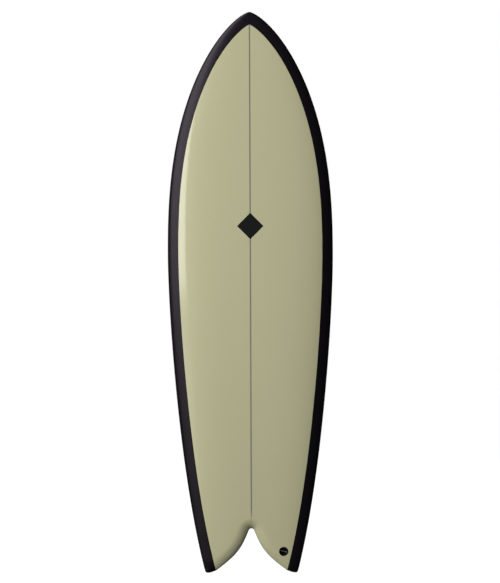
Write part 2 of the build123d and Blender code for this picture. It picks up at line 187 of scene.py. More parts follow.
@dataclass(frozen=True)
class BoardShape:
    """The board's outside as formulas, the curves that its solids were cut to."""

    length: float = 1.778
    half_wide: float = 0.2635
    tail_half: float = 0.1468
    wide_point: float = 1.010
    thick: float = 0.0635
    tail_thick: float = 0.020
    nose_thick: float = 0.009
    thick_point: float = 0.970
    tail_rocker: float = 0.045
    nose_rocker: float = 0.118
    flat_point: float = 0.760
    deck_crown: float = 4.0
    bottom_crown: float = 8.0
    nose_round: float = 0.007
    nose_outline: tuple[float, float] = (2.45, 0.70)  # powers of the outline's curve
    tail_outline: tuple[tuple[float, float], ...] = ((0.832, 1.6), (0.168, 5.5))
    thick_powers: tuple[float, float] = (2.2, 2.4)  # towards the nose and the tail
    rocker_powers: tuple[float, float] = (2.6, 2.1)
    rail_heights: tuple[float, float] = (0.38, 0.10)  # at the tail, and what the nose adds
    nose_from: float = 1.600  # where the meshes' rows start to crowd towards the tip
    nose_band: float = 0.003  # how much wider a rail band gets at the nose tip
    nose_reach: float = 0.150
    roll_deck: float = 0.036  # how far in from the notch the deck starts to roll over
    roll_under: float = 0.007
    roll_deck_share: float = 1.15  # how much of the deck's rise is gone at the notch
    roll_under_share: float = 0.35
    roll_early: float = 0.35  # how much of the roll is spread evenly over its width
    tail: TailEdge = field(default_factory=TailEdge)

    @property
    def tip_z(self) -> float:
        """Height of the nose tip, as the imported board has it."""
        return CAD_BOX[1].z

    def half_width(self, z: Array) -> Array:
        """Half width of the outline at height z."""
        z = np.asarray(z, float)
        to_nose = np.clip((z - self.wide_point) / (self.tip_z - self.wide_point), 0, 1)
        power, root = self.nose_outline
        nose = self.half_wide * (1 - to_nose**power) ** root
        to_tail = np.maximum(self.wide_point - z, 0) / self.wide_point
        fall = sum(part * to_tail**power for part, power in self.tail_outline)
        tail = self.half_wide - (self.half_wide - self.tail_half) * fall
        return np.where(z >= self.wide_point, nose, tail)

    def thickness(self, z: Array) -> Array:
        """Thickness on the centre line."""
        to_nose = np.maximum(z - self.thick_point, 0) / (self.length - self.thick_point)
        to_tail = np.maximum(self.thick_point - z, 0) / self.thick_point
        nose = self.thick - (self.thick - self.nose_thick) * to_nose ** self.thick_powers[0]
        tail = self.thick - (self.thick - self.tail_thick) * to_tail ** self.thick_powers[1]
        return np.where(z >= self.thick_point, nose, tail)

    def bottom(self, z: Array) -> Array:
        """Underside on the centre line."""
        to_nose = np.maximum(z - self.flat_point, 0) / (self.length - self.flat_point)
        to_tail = np.maximum(self.flat_point - z, 0) / self.flat_point
        lift = np.where(
            z >= self.flat_point,
            self.nose_rocker * to_nose ** self.rocker_powers[0],
            self.tail_rocker * to_tail ** self.rocker_powers[1],
        )
        return self.tail_rocker + self.tail_thick / 2 - lift

    def rail(self, z: Array) -> Array:
        """The rail's outermost line."""
        at_tail, more = self.rail_heights
        return self.bottom(z) - (at_tail + more * z / self.length) * self.thickness(z)

    def from_tail_edge(self, x: Array, z: Array) -> Array:
        """Distance in plan from the tail's edge, or a large number far from it.

        Args:
            x: Distances from the centre line.
            z: Heights, of the same shape.

        Returns:
            Distances of the same shape.
        """
        x, z = np.broadcast_arrays(np.abs(x), z)
        far = np.full(x.shape, 1.0)
        near = z < self.tail.depth + max(self.roll_deck, self.roll_under)
        line = np.vstack([self.tail.apex(16), self.tail.flank(90)[1:], self.tail.tip(10)[1:]])
        start, step = line[:-1], np.diff(line, axis=0)
        point = np.column_stack([x[near], z[near]])[:, None, :]
        along = ((point - start) * step).sum(2) / (step**2).sum(1)
        nearest = start + np.clip(along, 0, 1)[..., None] * step
        far[near] = np.linalg.norm(point - nearest, axis=2).min(1)
        return far

    def surface(self, face: Face, x: Array, z: Array, sink: float = 0.0) -> Array:
        """The y of the deck or of the underside.

        Args:
            face: Which of the two.
            x: Distances from the centre line.
            z: Heights.
            sink: How far under the surface.

        Returns:
            The y values.
        """
        x, z = np.broadcast_arrays(np.asarray(x, float), np.asarray(z, float))
        deck = face is Face.DECK
        crown = self.deck_crown if deck else self.bottom_crown
        middle = self.bottom(z) - (self.thickness(z) if deck else 0.0)
        share = np.clip(np.abs(x) / np.maximum(self.half_width(z), 1e-9), 0, 1)
        left = np.sqrt(np.maximum(0.0, 1 - share**crown))
        blunt = np.clip((z - (self.tip_z - self.nose_round)) / self.nose_round, 0, 1)
        left = left * np.sqrt(1 - blunt**2)
        width = self.roll_deck if deck else self.roll_under
        most = self.roll_deck_share if deck else self.roll_under_share
        turn = np.clip(1 - self.from_tail_edge(x, z) / width, 0, 1)
        late = 1 - np.sqrt(1 - turn**2)
        roll = most * (self.roll_early * turn**2 + (1 - self.roll_early) * late)
        rise = (middle - self.rail(z)) * left * (1 - roll)
        return self.rail(z) + rise - face.value * sink

    def inset(self, z: Array, band: float) -> tuple[Array, Array]:
        """Points moved in from the outline, square to it, but never past the centre line.

        Args:
            z: Heights on the outline.
            band: How far in, which grows a little near the nose tip.

        Returns:
            The x and z values of the moved points.
        """
        step = 2e-5
        low, high = self.half_width(z - step), self.half_width(np.minimum(z + step, self.tip_z))
        slope = (high - low) / (np.minimum(z + step, self.tip_z) - (z - step))
        long = np.hypot(1, slope)
        wide = self.half_width(z)
        near = np.maximum(0.0, 1 - (self.length - z) / self.nose_reach)
        move = np.minimum(band + self.nose_band * near**2, wide * long)
        return wide - move / long, z + move * slope / long


# ----------------------------------------------------------------------------- meshes


class Weave:
    """Grids of points, welded into one mesh."""

    def __init__(self) -> None:
        """Starts empty."""
        self.points: list[Array] = []
        self.faces: list[tuple[int, ...]] = []
        self.across: list[Array] = []
        self.total = 0

    def grid(self, points: Array, across: Array | None = None, around: bool = False) -> None:
        """Adds a grid.

        Args:
            points: Rows by columns by three.
            across: Rows by columns by two, the pattern's coordinates.
            around: Whether the last column joins the first.
        """
        rows, cols = points.shape[:2]
        self.points.append(points.reshape(-1, 3))
        blank = np.zeros((rows * cols, 2))
        self.across.append(blank if across is None else across.reshape(-1, 2))
        ends = cols if around else cols - 1
        for i in range(rows - 1):
            for j in range(ends):
                a, b = self.total + i * cols + j, self.total + i * cols + (j + 1) % cols
                self.faces.append((a, b, b + cols, a + cols))
        self.total += rows * cols

    def tube(self, rings: Array) -> None:
        """Adds rings of points, closed round and closed at both ends."""
        self.grid(rings, around=True)
        for ring in (rings[0], rings[-1]):
            self.points.append(ring)
            self.across.append(np.zeros((len(ring), 2)))
            self.faces.append(tuple(range(self.total, self.total + len(ring))))
            self.total += len(ring)

    def shell(self, name: str, outwards: Vector | None = None) -> bpy.types.Object:
        """Makes the welded object.

        Args:
            name: The object's name.
            outwards: Which way an open sheet looks. A closed shape needs none.

        Returns:
            The object, at the origin.
        """
        mesh = bpy.data.meshes.new(name)
        mesh.from_pydata(np.vstack(self.points).tolist(), [], self.faces)
        layer = mesh.uv_layers.new(name="across")
        spot = np.vstack(self.across)
        order = np.array([loop.vertex_index for loop in mesh.loops])
        layer.data.foreach_set("uv", spot[order].ravel())
        work = bmesh.new()
        work.from_mesh(mesh)
        bmesh.ops.remove_doubles(work, verts=work.verts, dist=3e-6)
        bmesh.ops.dissolve_degenerate(work, edges=work.edges, dist=1e-7)
        bmesh.ops.recalc_face_normals(work, faces=work.faces)
        if outwards is not None:
            total = sum((f.normal * f.calc_area() for f in work.faces), Vector())
            if total.dot(outwards) < 0:
                bmesh.ops.reverse_faces(work, faces=work.faces)
        work.to_mesh(mesh)
        work.free()
        return add_object(name, mesh)


def add_object(name: str, data: bpy.types.ID) -> bpy.types.Object:
    """Puts a mesh, a light or a camera into the scene as an object at the origin."""
    made = bpy.data.objects.new(name, data)
    bpy.context.scene.collection.objects.link(made)
    return made


def settle(made: bpy.types.Object, sharp: float = 35.0) -> bpy.types.Object:
    """Turns an object's modifiers into plain mesh, shaded smooth up to an angle.

    Args:
        made: The object.
        sharp: Edges that turn by more degrees than this stay crisp.

    Returns:
        The same object, with no modifier left.
    """
    graph = bpy.context.evaluated_depsgraph_get()
    fresh = bpy.data.meshes.new_from_object(made.evaluated_get(graph))
    made.modifiers.clear()
    old, made.data = made.data, fresh
    bpy.data.meshes.remove(old)
    fresh.name = made.name
    for face in fresh.polygons:
        face.use_smooth = True
    fresh.set_sharp_from_angle(angle=math.radians(sharp))
    return made


def thicken(made: bpy.types.Object, thickness: float) -> None:
    """Gives an open sheet a wall on its inner side."""
    wall = made.modifiers.new("wall", "SOLIDIFY")
    wall.thickness = thickness
    wall.offset = -1.0
    wall.use_even_offset = False


def punch(made: bpy.types.Object, middle: tuple[float, float], radius: float,
          height: Callable[[Array, Array], Array]) -> None:
    """Cuts a round hole in a sheet and draws its rim to the circle.

    Args:
        made: The sheet.
        middle: The hole's x and z.
        radius: The hole's radius.
        height: Gives the sheet's y from x and z.
    """
    work = bmesh.new()
    work.from_mesh(made.data)
    inside = {
        v for v in work.verts
        if math.hypot(v.co.x - middle[0], v.co.z - middle[1]) < radius
    }
    gone = [f for f in work.faces if any(v in inside for v in f.verts)]
    rim = {v for f in gone for v in f.verts} - inside
    bmesh.ops.delete(work, geom=gone, context="FACES")
    bmesh.ops.delete(work, geom=[v for v in work.verts if not v.link_faces], context="VERTS")
    for v in rim:
        if not v.is_valid:
            continue
        away = Vector((v.co.x - middle[0], v.co.z - middle[1])).normalized() * radius
        v.co.x, v.co.z = middle[0] + away.x, middle[1] + away.y
        v.co.y = float(height(np.array(v.co.x), np.array(v.co.z)))
    work.to_mesh(made.data)
    work.free()


def turned(profile: Sequence[tuple[float, float]], steps: int, place: Matrix) -> Array:
    """Points of a profile turned about its axis.

    Args:
        profile: Pairs of radius and height along the axis.
        steps: How many points round it.
        place: Where it stands, its axis along z.

    Returns:
        Rows by steps by three.
    """
    angles = np.linspace(0, 2 * math.pi, steps, endpoint=False)
    rows = [
        [place @ Vector((r * math.cos(a), r * math.sin(a), h)) for a in angles]
        for r, h in profile
    ]
    return np.array([[tuple(p) for p in row] for row in rows])


def arc(out: float, up: float, radius: float, start: int, end: int, step: int
        ) -> list[tuple[float, float]]:
    """Points of an arc of a profile.

    Args:
        out: How far its middle is from the axis.
        up: How far its middle is along the axis.
        radius: Its radius.
        start: Where it starts, in degrees.
        end: Where it ends.
        step: Degrees from point to point.

    Returns:
        Pairs of radius and height.
    """
    turns = [math.radians(turn) for turn in range(start, end + (1 if step > 0 else -1), step)]
    return [(out + radius * math.cos(a), up + radius * math.sin(a)) for a in turns]


def rounded_block(size: Vector, middle: Vector, bevel: float, place: Matrix) -> Array:
    """Points of a block with rounded upright corners, ring by ring from its foot.

    Args:
        size: Its full length, width and height.
        middle: Its middle, before it is placed.
        bevel: Radius of its corners.
        place: Where it stands.

    Returns:
        Rings by points by three.
    """
    turns = np.radians(np.arange(0, 360, 15))
    rings = []
    edge = 0.35 * bevel
    for height, inward in (
        (-size.z / 2, edge), (-size.z / 2 + edge, 0.0), (size.z / 2 - edge, 0.0),
        (size.z / 2, edge),
    ):
        ring = []
        for turn in turns:
            c, s = math.cos(turn), math.sin(turn)
            x = math.copysign(size.x / 2 - bevel, c) + (bevel - inward) * c
            y = math.copysign(size.y / 2 - bevel, s) + (bevel - inward) * s
            ring.append(tuple(place @ (middle + Vector((x, y, height)))))
        rings.append(ring)
    return np.array(rings)


# ----------------------------------------------------------------------------- node trees


class Value:
    """A number socket that takes part in Python arithmetic."""

    def __init__(self, tree: Recipe, socket: bpy.types.NodeSocket) -> None:
        """Wraps a socket of a tree."""
        self.tree = tree
        self.socket = socket

    def math(self, operation: str, *others: Any) -> Value:
        """Adds one Math node that starts from this value."""
        return self.tree.sum(operation, self, *others)

    def __add__(self, other: Any) -> Value:
        """Sum."""
        return self.math("ADD", other)

    __radd__ = __add__

    def __sub__(self, other: Any) -> Value:
        """Difference."""
        return self.math("SUBTRACT", other)

    def __rsub__(self, other: float) -> Value:
        """A number less this value."""
        return self.tree.sum("SUBTRACT", other, self)

    def __mul__(self, other: Any) -> Value:
        """Product."""
        return self.math("MULTIPLY", other)

    __rmul__ = __mul__

    def between(self, low: float, high: float) -> Value:
        """0 up to low, 1 from high, smooth between; high may be the lower one."""
        limits = {"Value": self, "From Min": low, "From Max": high}
        node = self.tree.add(
            "ShaderNodeMapRange", {"interpolation_type": "SMOOTHSTEP", "clamp": True}, limits
        )
        return Value(self.tree, node.outputs[0])


class Recipe:
    """The node tree of one finish."""

    def __init__(self, name: str) -> None:
        """Makes a new material with an empty tree."""
        self.material = bpy.data.materials.new(name)
        self.material.use_nodes = True
        self.tree = self.material.node_tree
        self.tree.nodes.clear()

    def add(self, kind: str, settings: Settings = None, inputs: Inputs = None) -> bpy.types.Node:
        """Adds a node, as add_node does."""
        return add_node(self.tree, kind, settings, inputs)

    def sum(self, operation: str, *inputs: Any) -> Value:
        """The result of one Math node."""
        node = self.add("ShaderNodeMath", {"operation": operation}, dict(enumerate(inputs)))
        return Value(self, node.outputs[0])

    def point(self) -> bpy.types.NodeSocket:
        """The piece's own coordinates."""
        return self.add("ShaderNodeTexCoord").outputs["Object"]

    def axes(self, source: bpy.types.NodeSocket) -> tuple[Value, Value, Value]:
        """A point's three numbers."""
        parts = self.add("ShaderNodeSeparateXYZ", None, {0: source}).outputs
        return Value(self, parts[0]), Value(self, parts[1]), Value(self, parts[2])

    def stretched(self, source: bpy.types.NodeSocket, by: tuple[float, float, float],
                  turn: tuple[float, float, float] = (0, 0, 0)) -> bpy.types.NodeSocket:
        """Coordinates scaled and turned about the origin."""
        inputs = {"Vector": source, "Scale": by, "Rotation": turn}
        return self.add("ShaderNodeMapping", None, inputs).outputs[0]

    def noise(self, source: bpy.types.NodeSocket, scale: float, detail: float = 3.0,
              rough: float = 0.5) -> Value:
        """Cloudy noise from 0 to 1."""
        inputs = {"Vector": source, "Scale": scale, "Detail": detail, "Roughness": rough}
        return Value(self, self.add("ShaderNodeTexNoise", None, inputs).outputs["Fac"])

    def waves(self, source: bpy.types.NodeSocket, scale: float, axis: str,
              distortion: float = 0.0) -> Value:
        """Parallel threads from 0 to 1 across one axis."""
        inputs = {"Vector": source, "Scale": scale, "Distortion": distortion, "Detail": 0.0}
        settings = {"wave_type": "BANDS", "bands_direction": axis}
        return Value(self, self.add("ShaderNodeTexWave", settings, inputs).outputs["Fac"])

    def cells(self, source: bpy.types.NodeSocket, scale: float) -> Value:
        """Distance to the nearest of many scattered points."""
        inputs = {"Vector": source, "Scale": scale}
        return Value(self, self.add("ShaderNodeTexVoronoi", None, inputs).outputs["Distance"])

    def blend(self, factor: Any, first: Any, second: Any) -> bpy.types.NodeSocket:
        """A colour between two others."""
        node = self.add("ShaderNodeMix", {"data_type": "RGBA"}, {0: factor, 6: first, 7: second})
        return node.outputs[2]

    def bump(self, height: Value, depth: float, strength: float = 1.0) -> bpy.types.NodeSocket:
        """A normal from a height pattern that is depth metres deep."""
        inputs = {"Height": height, "Distance": depth, "Strength": strength}
        return self.add("ShaderNodeBump", None, inputs).outputs[0]

    def surface(self, inputs: dict[str, Any]) -> bpy.types.Material:
        """Closes the tree with a Principled shader and returns the material."""
        shader = self.add("ShaderNodeBsdfPrincipled", None, inputs)
        self.add("ShaderNodeOutputMaterial", None, {"Surface": shader.outputs[0]})
        return self.material


def add_node(tree: bpy.types.NodeTree, kind: str, settings: Settings = None,
             inputs: Inputs = None) -> bpy.types.Node:
    """Adds a node to any tree.

    Args:
        tree: The tree.
        kind: The node's type.
        settings: Its own settings, set first.
        inputs: Values or links for its sockets, by name or number.

    Returns:
        The node.
    """
    node = tree.nodes.new(kind)
    for name, value in (settings or {}).items():
        setattr(node, name, value)
    for name, value in (inputs or {}).items():
        socket = node.inputs[name]
        if isinstance(value, Value):
            tree.links.new(value.socket, socket)
        elif isinstance(value, bpy.types.NodeSocket):
            tree.links.new(value, socket)
        else:
            socket.default_value = value
    return node


def shade(colour: Colour, by: float) -> Colour:
    """A colour made lighter or darker."""
    return (colour[0] * by, colour[1] * by, colour[2] * by, 1.0)


# ----------------------------------------------------------------------------- finishes


class Look:
    """What the finishes share: each builds its material from a recipe of its own."""

    name: str

    def inputs(self, r: Recipe, point: bpy.types.NodeSocket) -> dict[str, Any]:
        """What the finish gives its shader.

        Args:
            r: The recipe that its nodes go into.
            point: The piece's own coordinates.

        Returns:
            A value or a link for each named input of the shader.
        """
        raise NotImplementedError

    def material(self) -> bpy.types.Material:
        """Builds the finish."""
        recipe = Recipe(self.name)
        return recipe.surface(self.inputs(recipe, recipe.point()))


@dataclass(frozen=True)
class GlassedFoam(Look):
    """Tinted foam under polished resin, with the stringer showing through as a fine line."""

    name: str
    tint: Colour = (0.512, 0.500, 0.312, 1.0)
    line: Colour = (0.150, 0.168, 0.162, 1.0)
    line_half: float = 0.0021
    line_start: float = 0.150
    line_full: float = 0.205
    line_end: float = 1.7390
    roughness: float = 0.32
    coat: float = 0.85
    coat_roughness: float = 0.08

    def inputs(self, r: Recipe, point: bpy.types.NodeSocket) -> dict[str, Any]:
        """What the finish gives its shader."""
        x, _, z = r.axes(point)
        cloud = r.noise(point, 5.0, 4.0)
        speck = r.noise(point, 420.0, 2.0)
        shift = (cloud - 0.5) * 0.16 + (speck - 0.5) * 0.05
        aged = r.blend((0.5 + shift).math("MAXIMUM", 0.0), shade(self.tint, 0.90),
                       shade(self.tint, 1.10))
        wander = (r.noise(point, 9.0, 2.0) - 0.5) * 0.0004
        off = (x + wander).math("ABSOLUTE")
        inside = off.between(self.line_half + 0.0004, self.line_half - 0.0004)
        grain = r.noise(r.stretched(point, (1.0, 1.0, 0.03)), 900.0, 2.0)
        along = z.between(self.line_start, self.line_full) * z.between(
            self.line_end + 0.001, self.line_end - 0.001
        )
        strength = inside * along * (0.82 + grain * 0.18)
        colour = r.blend(strength, aged, self.line)
        weave = r.waves(point, 260.0, "X", 0.6) + r.waves(point, 260.0, "Z", 0.6)
        height = weave * 0.06 + r.noise(point, 38.0, 3.0)
        haze = self.roughness - 0.04 + r.noise(point, 24.0, 3.0) * 0.08
        return {
            "Base Color": colour,
            "Roughness": haze,
            "Normal": r.bump(height, 0.00010, 0.5),
            "Specular IOR Level": 0.25,
            "Coat Weight": self.coat,
            "Coat Roughness": self.coat_roughness,
            "Coat IOR": 1.5,
        }


@dataclass(frozen=True)
class RailTint(Look):
    """Charcoal cloth wrapped round the rails, with painted shade as a fine darker line along its
    inner edge.
    """

    name: str = "charcoal_rail_wrap"
    tint: Colour = (0.0045, 0.0036, 0.0050, 1.0)
    # edge: painted shade, the darker colour of the fine line along the band's inner edge
    edge: Colour = (0.0018, 0.0016, 0.0020, 1.0)
    edge_shade_share: float = 0.10
    thread: float = 330.0
    roughness: float = 0.42
    coat: float = 0.08
    coat_roughness: float = 0.25
    specular: float = 0.170
    glance: Colour = (0.92, 0.80, 1.0, 1.0)  # the tint of what it reflects

    def inputs(self, r: Recipe, point: bpy.types.NodeSocket) -> dict[str, Any]:
        """What the finish gives its shader."""
        across, along, _ = r.axes(r.add("ShaderNodeUVMap", {"uv_map": "across"}).outputs[0])
        diagonal = (across * 0.03 + along) * self.thread
        other = (across * 0.03 - along) * self.thread
        warp = (diagonal * math.tau).math("SINE")
        weft = (other * math.tau).math("SINE")
        twill = (warp * weft) * 0.5 + 0.5
        cloud = r.noise(point, 14.0, 3.0)
        cloth = r.blend(twill * 0.35 + cloud * 0.5, shade(self.tint, 0.75), shade(self.tint, 1.3))
        # line marks where the painted shade along the inner edge falls: a darker colour and a
        # little glossier
        line = across.between(self.edge_shade_share, self.edge_shade_share * 0.6)
        colour = r.blend(line, cloth, self.edge)
        haze = self.roughness - 0.05 + cloud * 0.10 - line * 0.12
        return {
            "Base Color": colour,
            "Roughness": haze,
            "Normal": r.bump(twill * 0.5 + r.noise(point, 60.0, 2.0), 0.00006, 0.5),
            "Specular IOR Level": self.specular,
            "Specular Tint": self.glance,
            "Coat Weight": self.coat,
            "Coat Roughness": self.coat_roughness,
        }


@dataclass(frozen=True)
class RawFoam(Look):
    """Shaped polyurethane foam, with its fine open cells."""

    name: str = "shaped_foam"
    tint: Colour = (0.80, 0.77, 0.62, 1.0)

    def inputs(self, r: Recipe, point: bpy.types.NodeSocket) -> dict[str, Any]:
        """What the finish gives its shader."""
        cell = r.cells(point, 1400.0)
        cloud = r.noise(point, 8.0, 3.0)
        colour = r.blend(cell * 0.6 + cloud * 0.4, shade(self.tint, 0.82), self.tint)
        return {
            "Base Color": colour,
            "Roughness": 0.86 + cloud * 0.10,
            "Normal": r.bump(cell, 0.0003, 0.6),
        }


@dataclass(frozen=True)
class StringerWood(Look):
    """Straight-grained wood."""

    name: str = "stringer_wood"
    light: Colour = (0.52, 0.36, 0.19, 1.0)
    dark: Colour = (0.30, 0.18, 0.08, 1.0)

    def inputs(self, r: Recipe, point: bpy.types.NodeSocket) -> dict[str, Any]:
        """What the finish gives its shader."""
        long = r.stretched(point, (1.0, 1.0, 0.02))
        grain = r.noise(long, 320.0, 4.0, 0.6)
        ring = r.waves(long, 60.0, "Y", 2.0)
        mark = grain * 0.7 + ring * 0.3
        return {
            "Base Color": r.blend(mark, self.dark, self.light),
            "Roughness": 0.50 + grain * 0.2,
            "Normal": r.bump(mark, 0.0001, 0.5),
        }


@dataclass(frozen=True)
class PrintedFilm(Look):
    """Dense black print that lies under a thin gloss."""

    name: str = "black_print"
    ink: Colour = (0.0030, 0.0030, 0.0032, 1.0)

    def inputs(self, r: Recipe, point: bpy.types.NodeSocket) -> dict[str, Any]:
        """What the finish gives its shader."""
        speck = r.noise(point, 700.0, 2.0)
        return {
            "Base Color": r.blend(speck, self.ink, shade(self.ink, 2.2)),
            "Roughness": 0.42 + speck * 0.1,
            "Normal": r.bump(r.noise(point, 40.0, 2.0), 0.00005, 0.4),
            "Specular IOR Level": 0.15,
            "Coat Weight": 0.05,
            "Coat Roughness": 0.12,
        }


@dataclass(frozen=True)
class MouldedPlastic(Look):
    """Injection-moulded black plastic with a fine spark grain."""

    name: str = "moulded_black"
    tint: Colour = (0.0022, 0.0022, 0.0024, 1.0)
    roughness: float = 0.50

    def inputs(self, r: Recipe, point: bpy.types.NodeSocket) -> dict[str, Any]:
        """What the finish gives its shader."""
        grain = r.noise(point, 2600.0, 2.0)
        cloud = r.noise(point, 120.0, 2.0)
        return {
            "Base Color": r.blend(cloud, self.tint, shade(self.tint, 1.7)),
            "Roughness": self.roughness - 0.05 + cloud * 0.12,
            "Normal": r.bump(grain, 0.00006, 0.6),
            "Specular IOR Level": 0.08,
        }


@dataclass(frozen=True)
class Steel(Look):
    """Drawn stainless steel, with fine marks round its axis."""

    name: str
    tint: Colour
    roughness: float = 0.30
    glance: float = 1.0  # how bright it is when seen at a flat angle

    def inputs(self, r: Recipe, point: bpy.types.NodeSocket) -> dict[str, Any]:
        """What the finish gives its shader."""
        marks = r.noise(r.stretched(point, (1.0, 0.1, 1.0)), 3200.0, 3.0)
        tarnish = r.noise(point, 160.0, 3.0)
        return {
            "Base Color": r.blend(tarnish, shade(self.tint, 0.75), self.tint),
            "Metallic": 1.0,
            "Specular Tint": (self.glance, self.glance, self.glance, 1.0),
            "Roughness": self.roughness - 0.06 + marks * 0.16,
            "Normal": r.bump(marks, 0.00003, 0.5),
        }


@dataclass(frozen=True)
class FinLaminate(Look):
    """Smoke-black fibreglass plate: crossed cloth under clear resin, sanded at the edges."""

    name: str = "fin_laminate"
    tint: Colour = (0.030, 0.031, 0.034, 1.0)
    thread: float = 240.0

    def inputs(self, r: Recipe, point: bpy.types.NodeSocket) -> dict[str, Any]:
        """What the finish gives its shader."""
        turned_point = r.stretched(point, (1.0, 1.0, 1.0), (math.radians(45), 0.0, 0.0))
        warp = r.waves(turned_point, self.thread, "Y", 0.3)
        weft = r.waves(turned_point, self.thread, "Z", 0.3)
        cloth = warp * weft
        cloud = r.noise(point, 22.0, 3.0)
        mark = cloth * 0.55 + cloud * 0.35
        return {
            "Base Color": r.blend(mark, shade(self.tint, 0.6), shade(self.tint, 1.9)),
            "Roughness": 0.30 + cloud * 0.10,
            "Normal": r.bump(cloth + cloud, 0.00006, 0.4),
            "Coat Weight": 0.7,
            "Coat Roughness": 0.08,
        }


class Finish(Enum):
    """The board's finishes, each with the record's slot that it stands for."""

    DECK = ("deck_glass", GlassedFoam("deck_glass_over_foam"))
    UNDER = ("bottom_glass", GlassedFoam("underside_glass_over_foam"))
    RAIL = ("rail_glass", RailTint())
    FOAM = ("foam", RawFoam())
    STRINGER = ("stringer_wood", StringerWood())
    PRINT = ("emblem_print", PrintedFilm())
    PLASTIC = ("plug_plastic", MouldedPlastic())
    # The bar's steel is tinted almost black and reflects weakly at a flat angle: painted shade,
    # standing in for the shadow inside the cup.
    BAR = ("bar_steel", Steel("bar_steel", (0.0009, 0.0009, 0.0010, 1.0), 0.60, 0.15))
    SCREW = ("screw_steel", Steel("screw_steel", (0.62, 0.62, 0.63, 1.0)))
    FIN = ("fin_glass", FinLaminate())

    @property
    def slot(self) -> str:
        """The record's slot."""
        return self.value[0]

    def material(self) -> bpy.types.Material:
        """The material, made once."""
        made = bpy.data.materials.get(self.value[1].name)
        return made or self.value[1].material()


def dress(made: bpy.types.Object, finish: Finish, body: str, *nodes: str) -> bpy.types.Object:
    """Gives a finished piece its material, its body and what it stands for.

    Args:
        made: The piece.
        finish: Its finish.
        body: The body it rides on.
        *nodes: The frame's nodes that it replaces.

    Returns:
        The piece.
    """
    made.data.materials.clear()
    made.data.materials.append(finish.material())
    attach(made, body)
    if nodes:
        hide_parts(*nodes)
    log.info("%s: %d faces on %s", made.name, len(made.data.polygons), body)
    return made


# ----------------------------------------------------------------------------- the board


@dataclass
class RailBand:
    """One charcoal band round a rail, from the deck over the edge to the underside."""

    shape: BoardShape
    side: Side
    deck_width: float = 0.0344
    under_width: float = 0.022
    skin: float = 0.0012
    flank_rows: int = 22
    corner_rows: int = 14
    side_rows: int = 250
    nose_rows: int = 70
    columns: int = 18
    wall_columns: int = 5

    def __post_init__(self) -> None:
        """Works out where the deck's band meets the notch."""
        self.meet = self._meeting()

    def _meeting(self) -> Array:
        """Where the band's inner edge on the deck crosses the notch's edge."""
        flank = self.shape.tail.flank(FINE)
        heights = np.linspace(-0.03, 0.2, 700)
        inner_x, inner_z = self.shape.inset(heights, self.deck_width)
        gap = np.interp(flank[:, 1], inner_z, inner_x) - flank[:, 0]
        return flank[np.argmax(gap < 0)]

    def outer(self) -> Array:
        """The band's outer line in plan: along the notch to the tip, round it, up to the nose."""
        tail = self.shape.tail
        flank = tail.flank(FINE)
        flank = flank[flank[:, 0] >= self.meet[0]]
        low = tail.corner
        z = low + (self.shape.tip_z - low) * slowing(3000)
        z = np.concatenate([np.linspace(low, z[1], 50)[:-1], z[1:]])
        line = np.column_stack([self.shape.half_width(z), z])
        body = line[line[:, 1] <= self.shape.nose_from]
        nose = line[line[:, 1] >= self.shape.nose_from]
        return np.vstack([
            resample(flank, np.linspace(0, 1, self.flank_rows)),
            tail.tip(self.corner_rows)[1:],
            resample(body, np.linspace(0, 1, self.side_rows))[1:],
            resample(nose, slowing(self.nose_rows))[1:],
        ])

    def inner(self, face: Face) -> Array:
        """The band's inner line in plan, a point for each of the outer line's."""
        width = self.deck_width if face is Face.DECK else self.under_width
        outer = self.outer()
        first = self.flank_rows + self.corner_rows - 1
        x, z = self.shape.inset(outer[first:, 1], width)
        line = np.column_stack([x, z])
        share = np.linspace(0, 1, first, endpoint=False)[:, None] ** 1.5
        return np.vstack([self.meet + (line[0] - self.meet) * share, line])

    def half(self, face: Face, outer: Array, inner: Array) -> tuple[Array, Array]:
        """The band's points on one face, from the inner to the outer line, and their pattern."""
        share = 1 - (1 - np.linspace(0, 1, self.columns)) ** 2
        plan = inner[:, None, :] + (outer - inner)[:, None, :] * share[None, :, None]
        x, z = plan[..., 0], plan[..., 1]
        y = self.shape.surface(face, x, z)
        across = share if face is Face.DECK else 2 - share
        pattern = np.stack(np.broadcast_arrays(across[None, :], run_along(outer)[:, None]), axis=2)
        return np.stack([x, y, z], axis=2), pattern

    def build(self) -> bpy.types.Object:
        """Makes the band.

        Returns:
            The finished piece.
        """
        weave = Weave()
        outer = self.outer()
        faces = []
        for face in Face:
            points, pattern = self.half(face, outer, self.inner(face))
            points[..., 0] *= self.side.value
            weave.grid(points, pattern)
            faces.append(points)
        rows = self.flank_rows + self.corner_rows
        top, low = faces[0][:rows, -1], faces[1][:rows, -1]
        share = np.linspace(0, 1, self.wall_columns)[None, :, None]
        weave.grid(top[:, None, :] * (1 - share) + low[:, None, :] * share,
                   np.full((rows, self.wall_columns, 2), 1.0))
        name = self.side.name.lower()
        made = weave.shell(f"rail_wrap_{name}", Vector((self.side.value, 0, 0)))
        thicken(made, self.skin)
        return dress(settle(made, 50), Finish.RAIL, "root", f"rail_band_{name}")


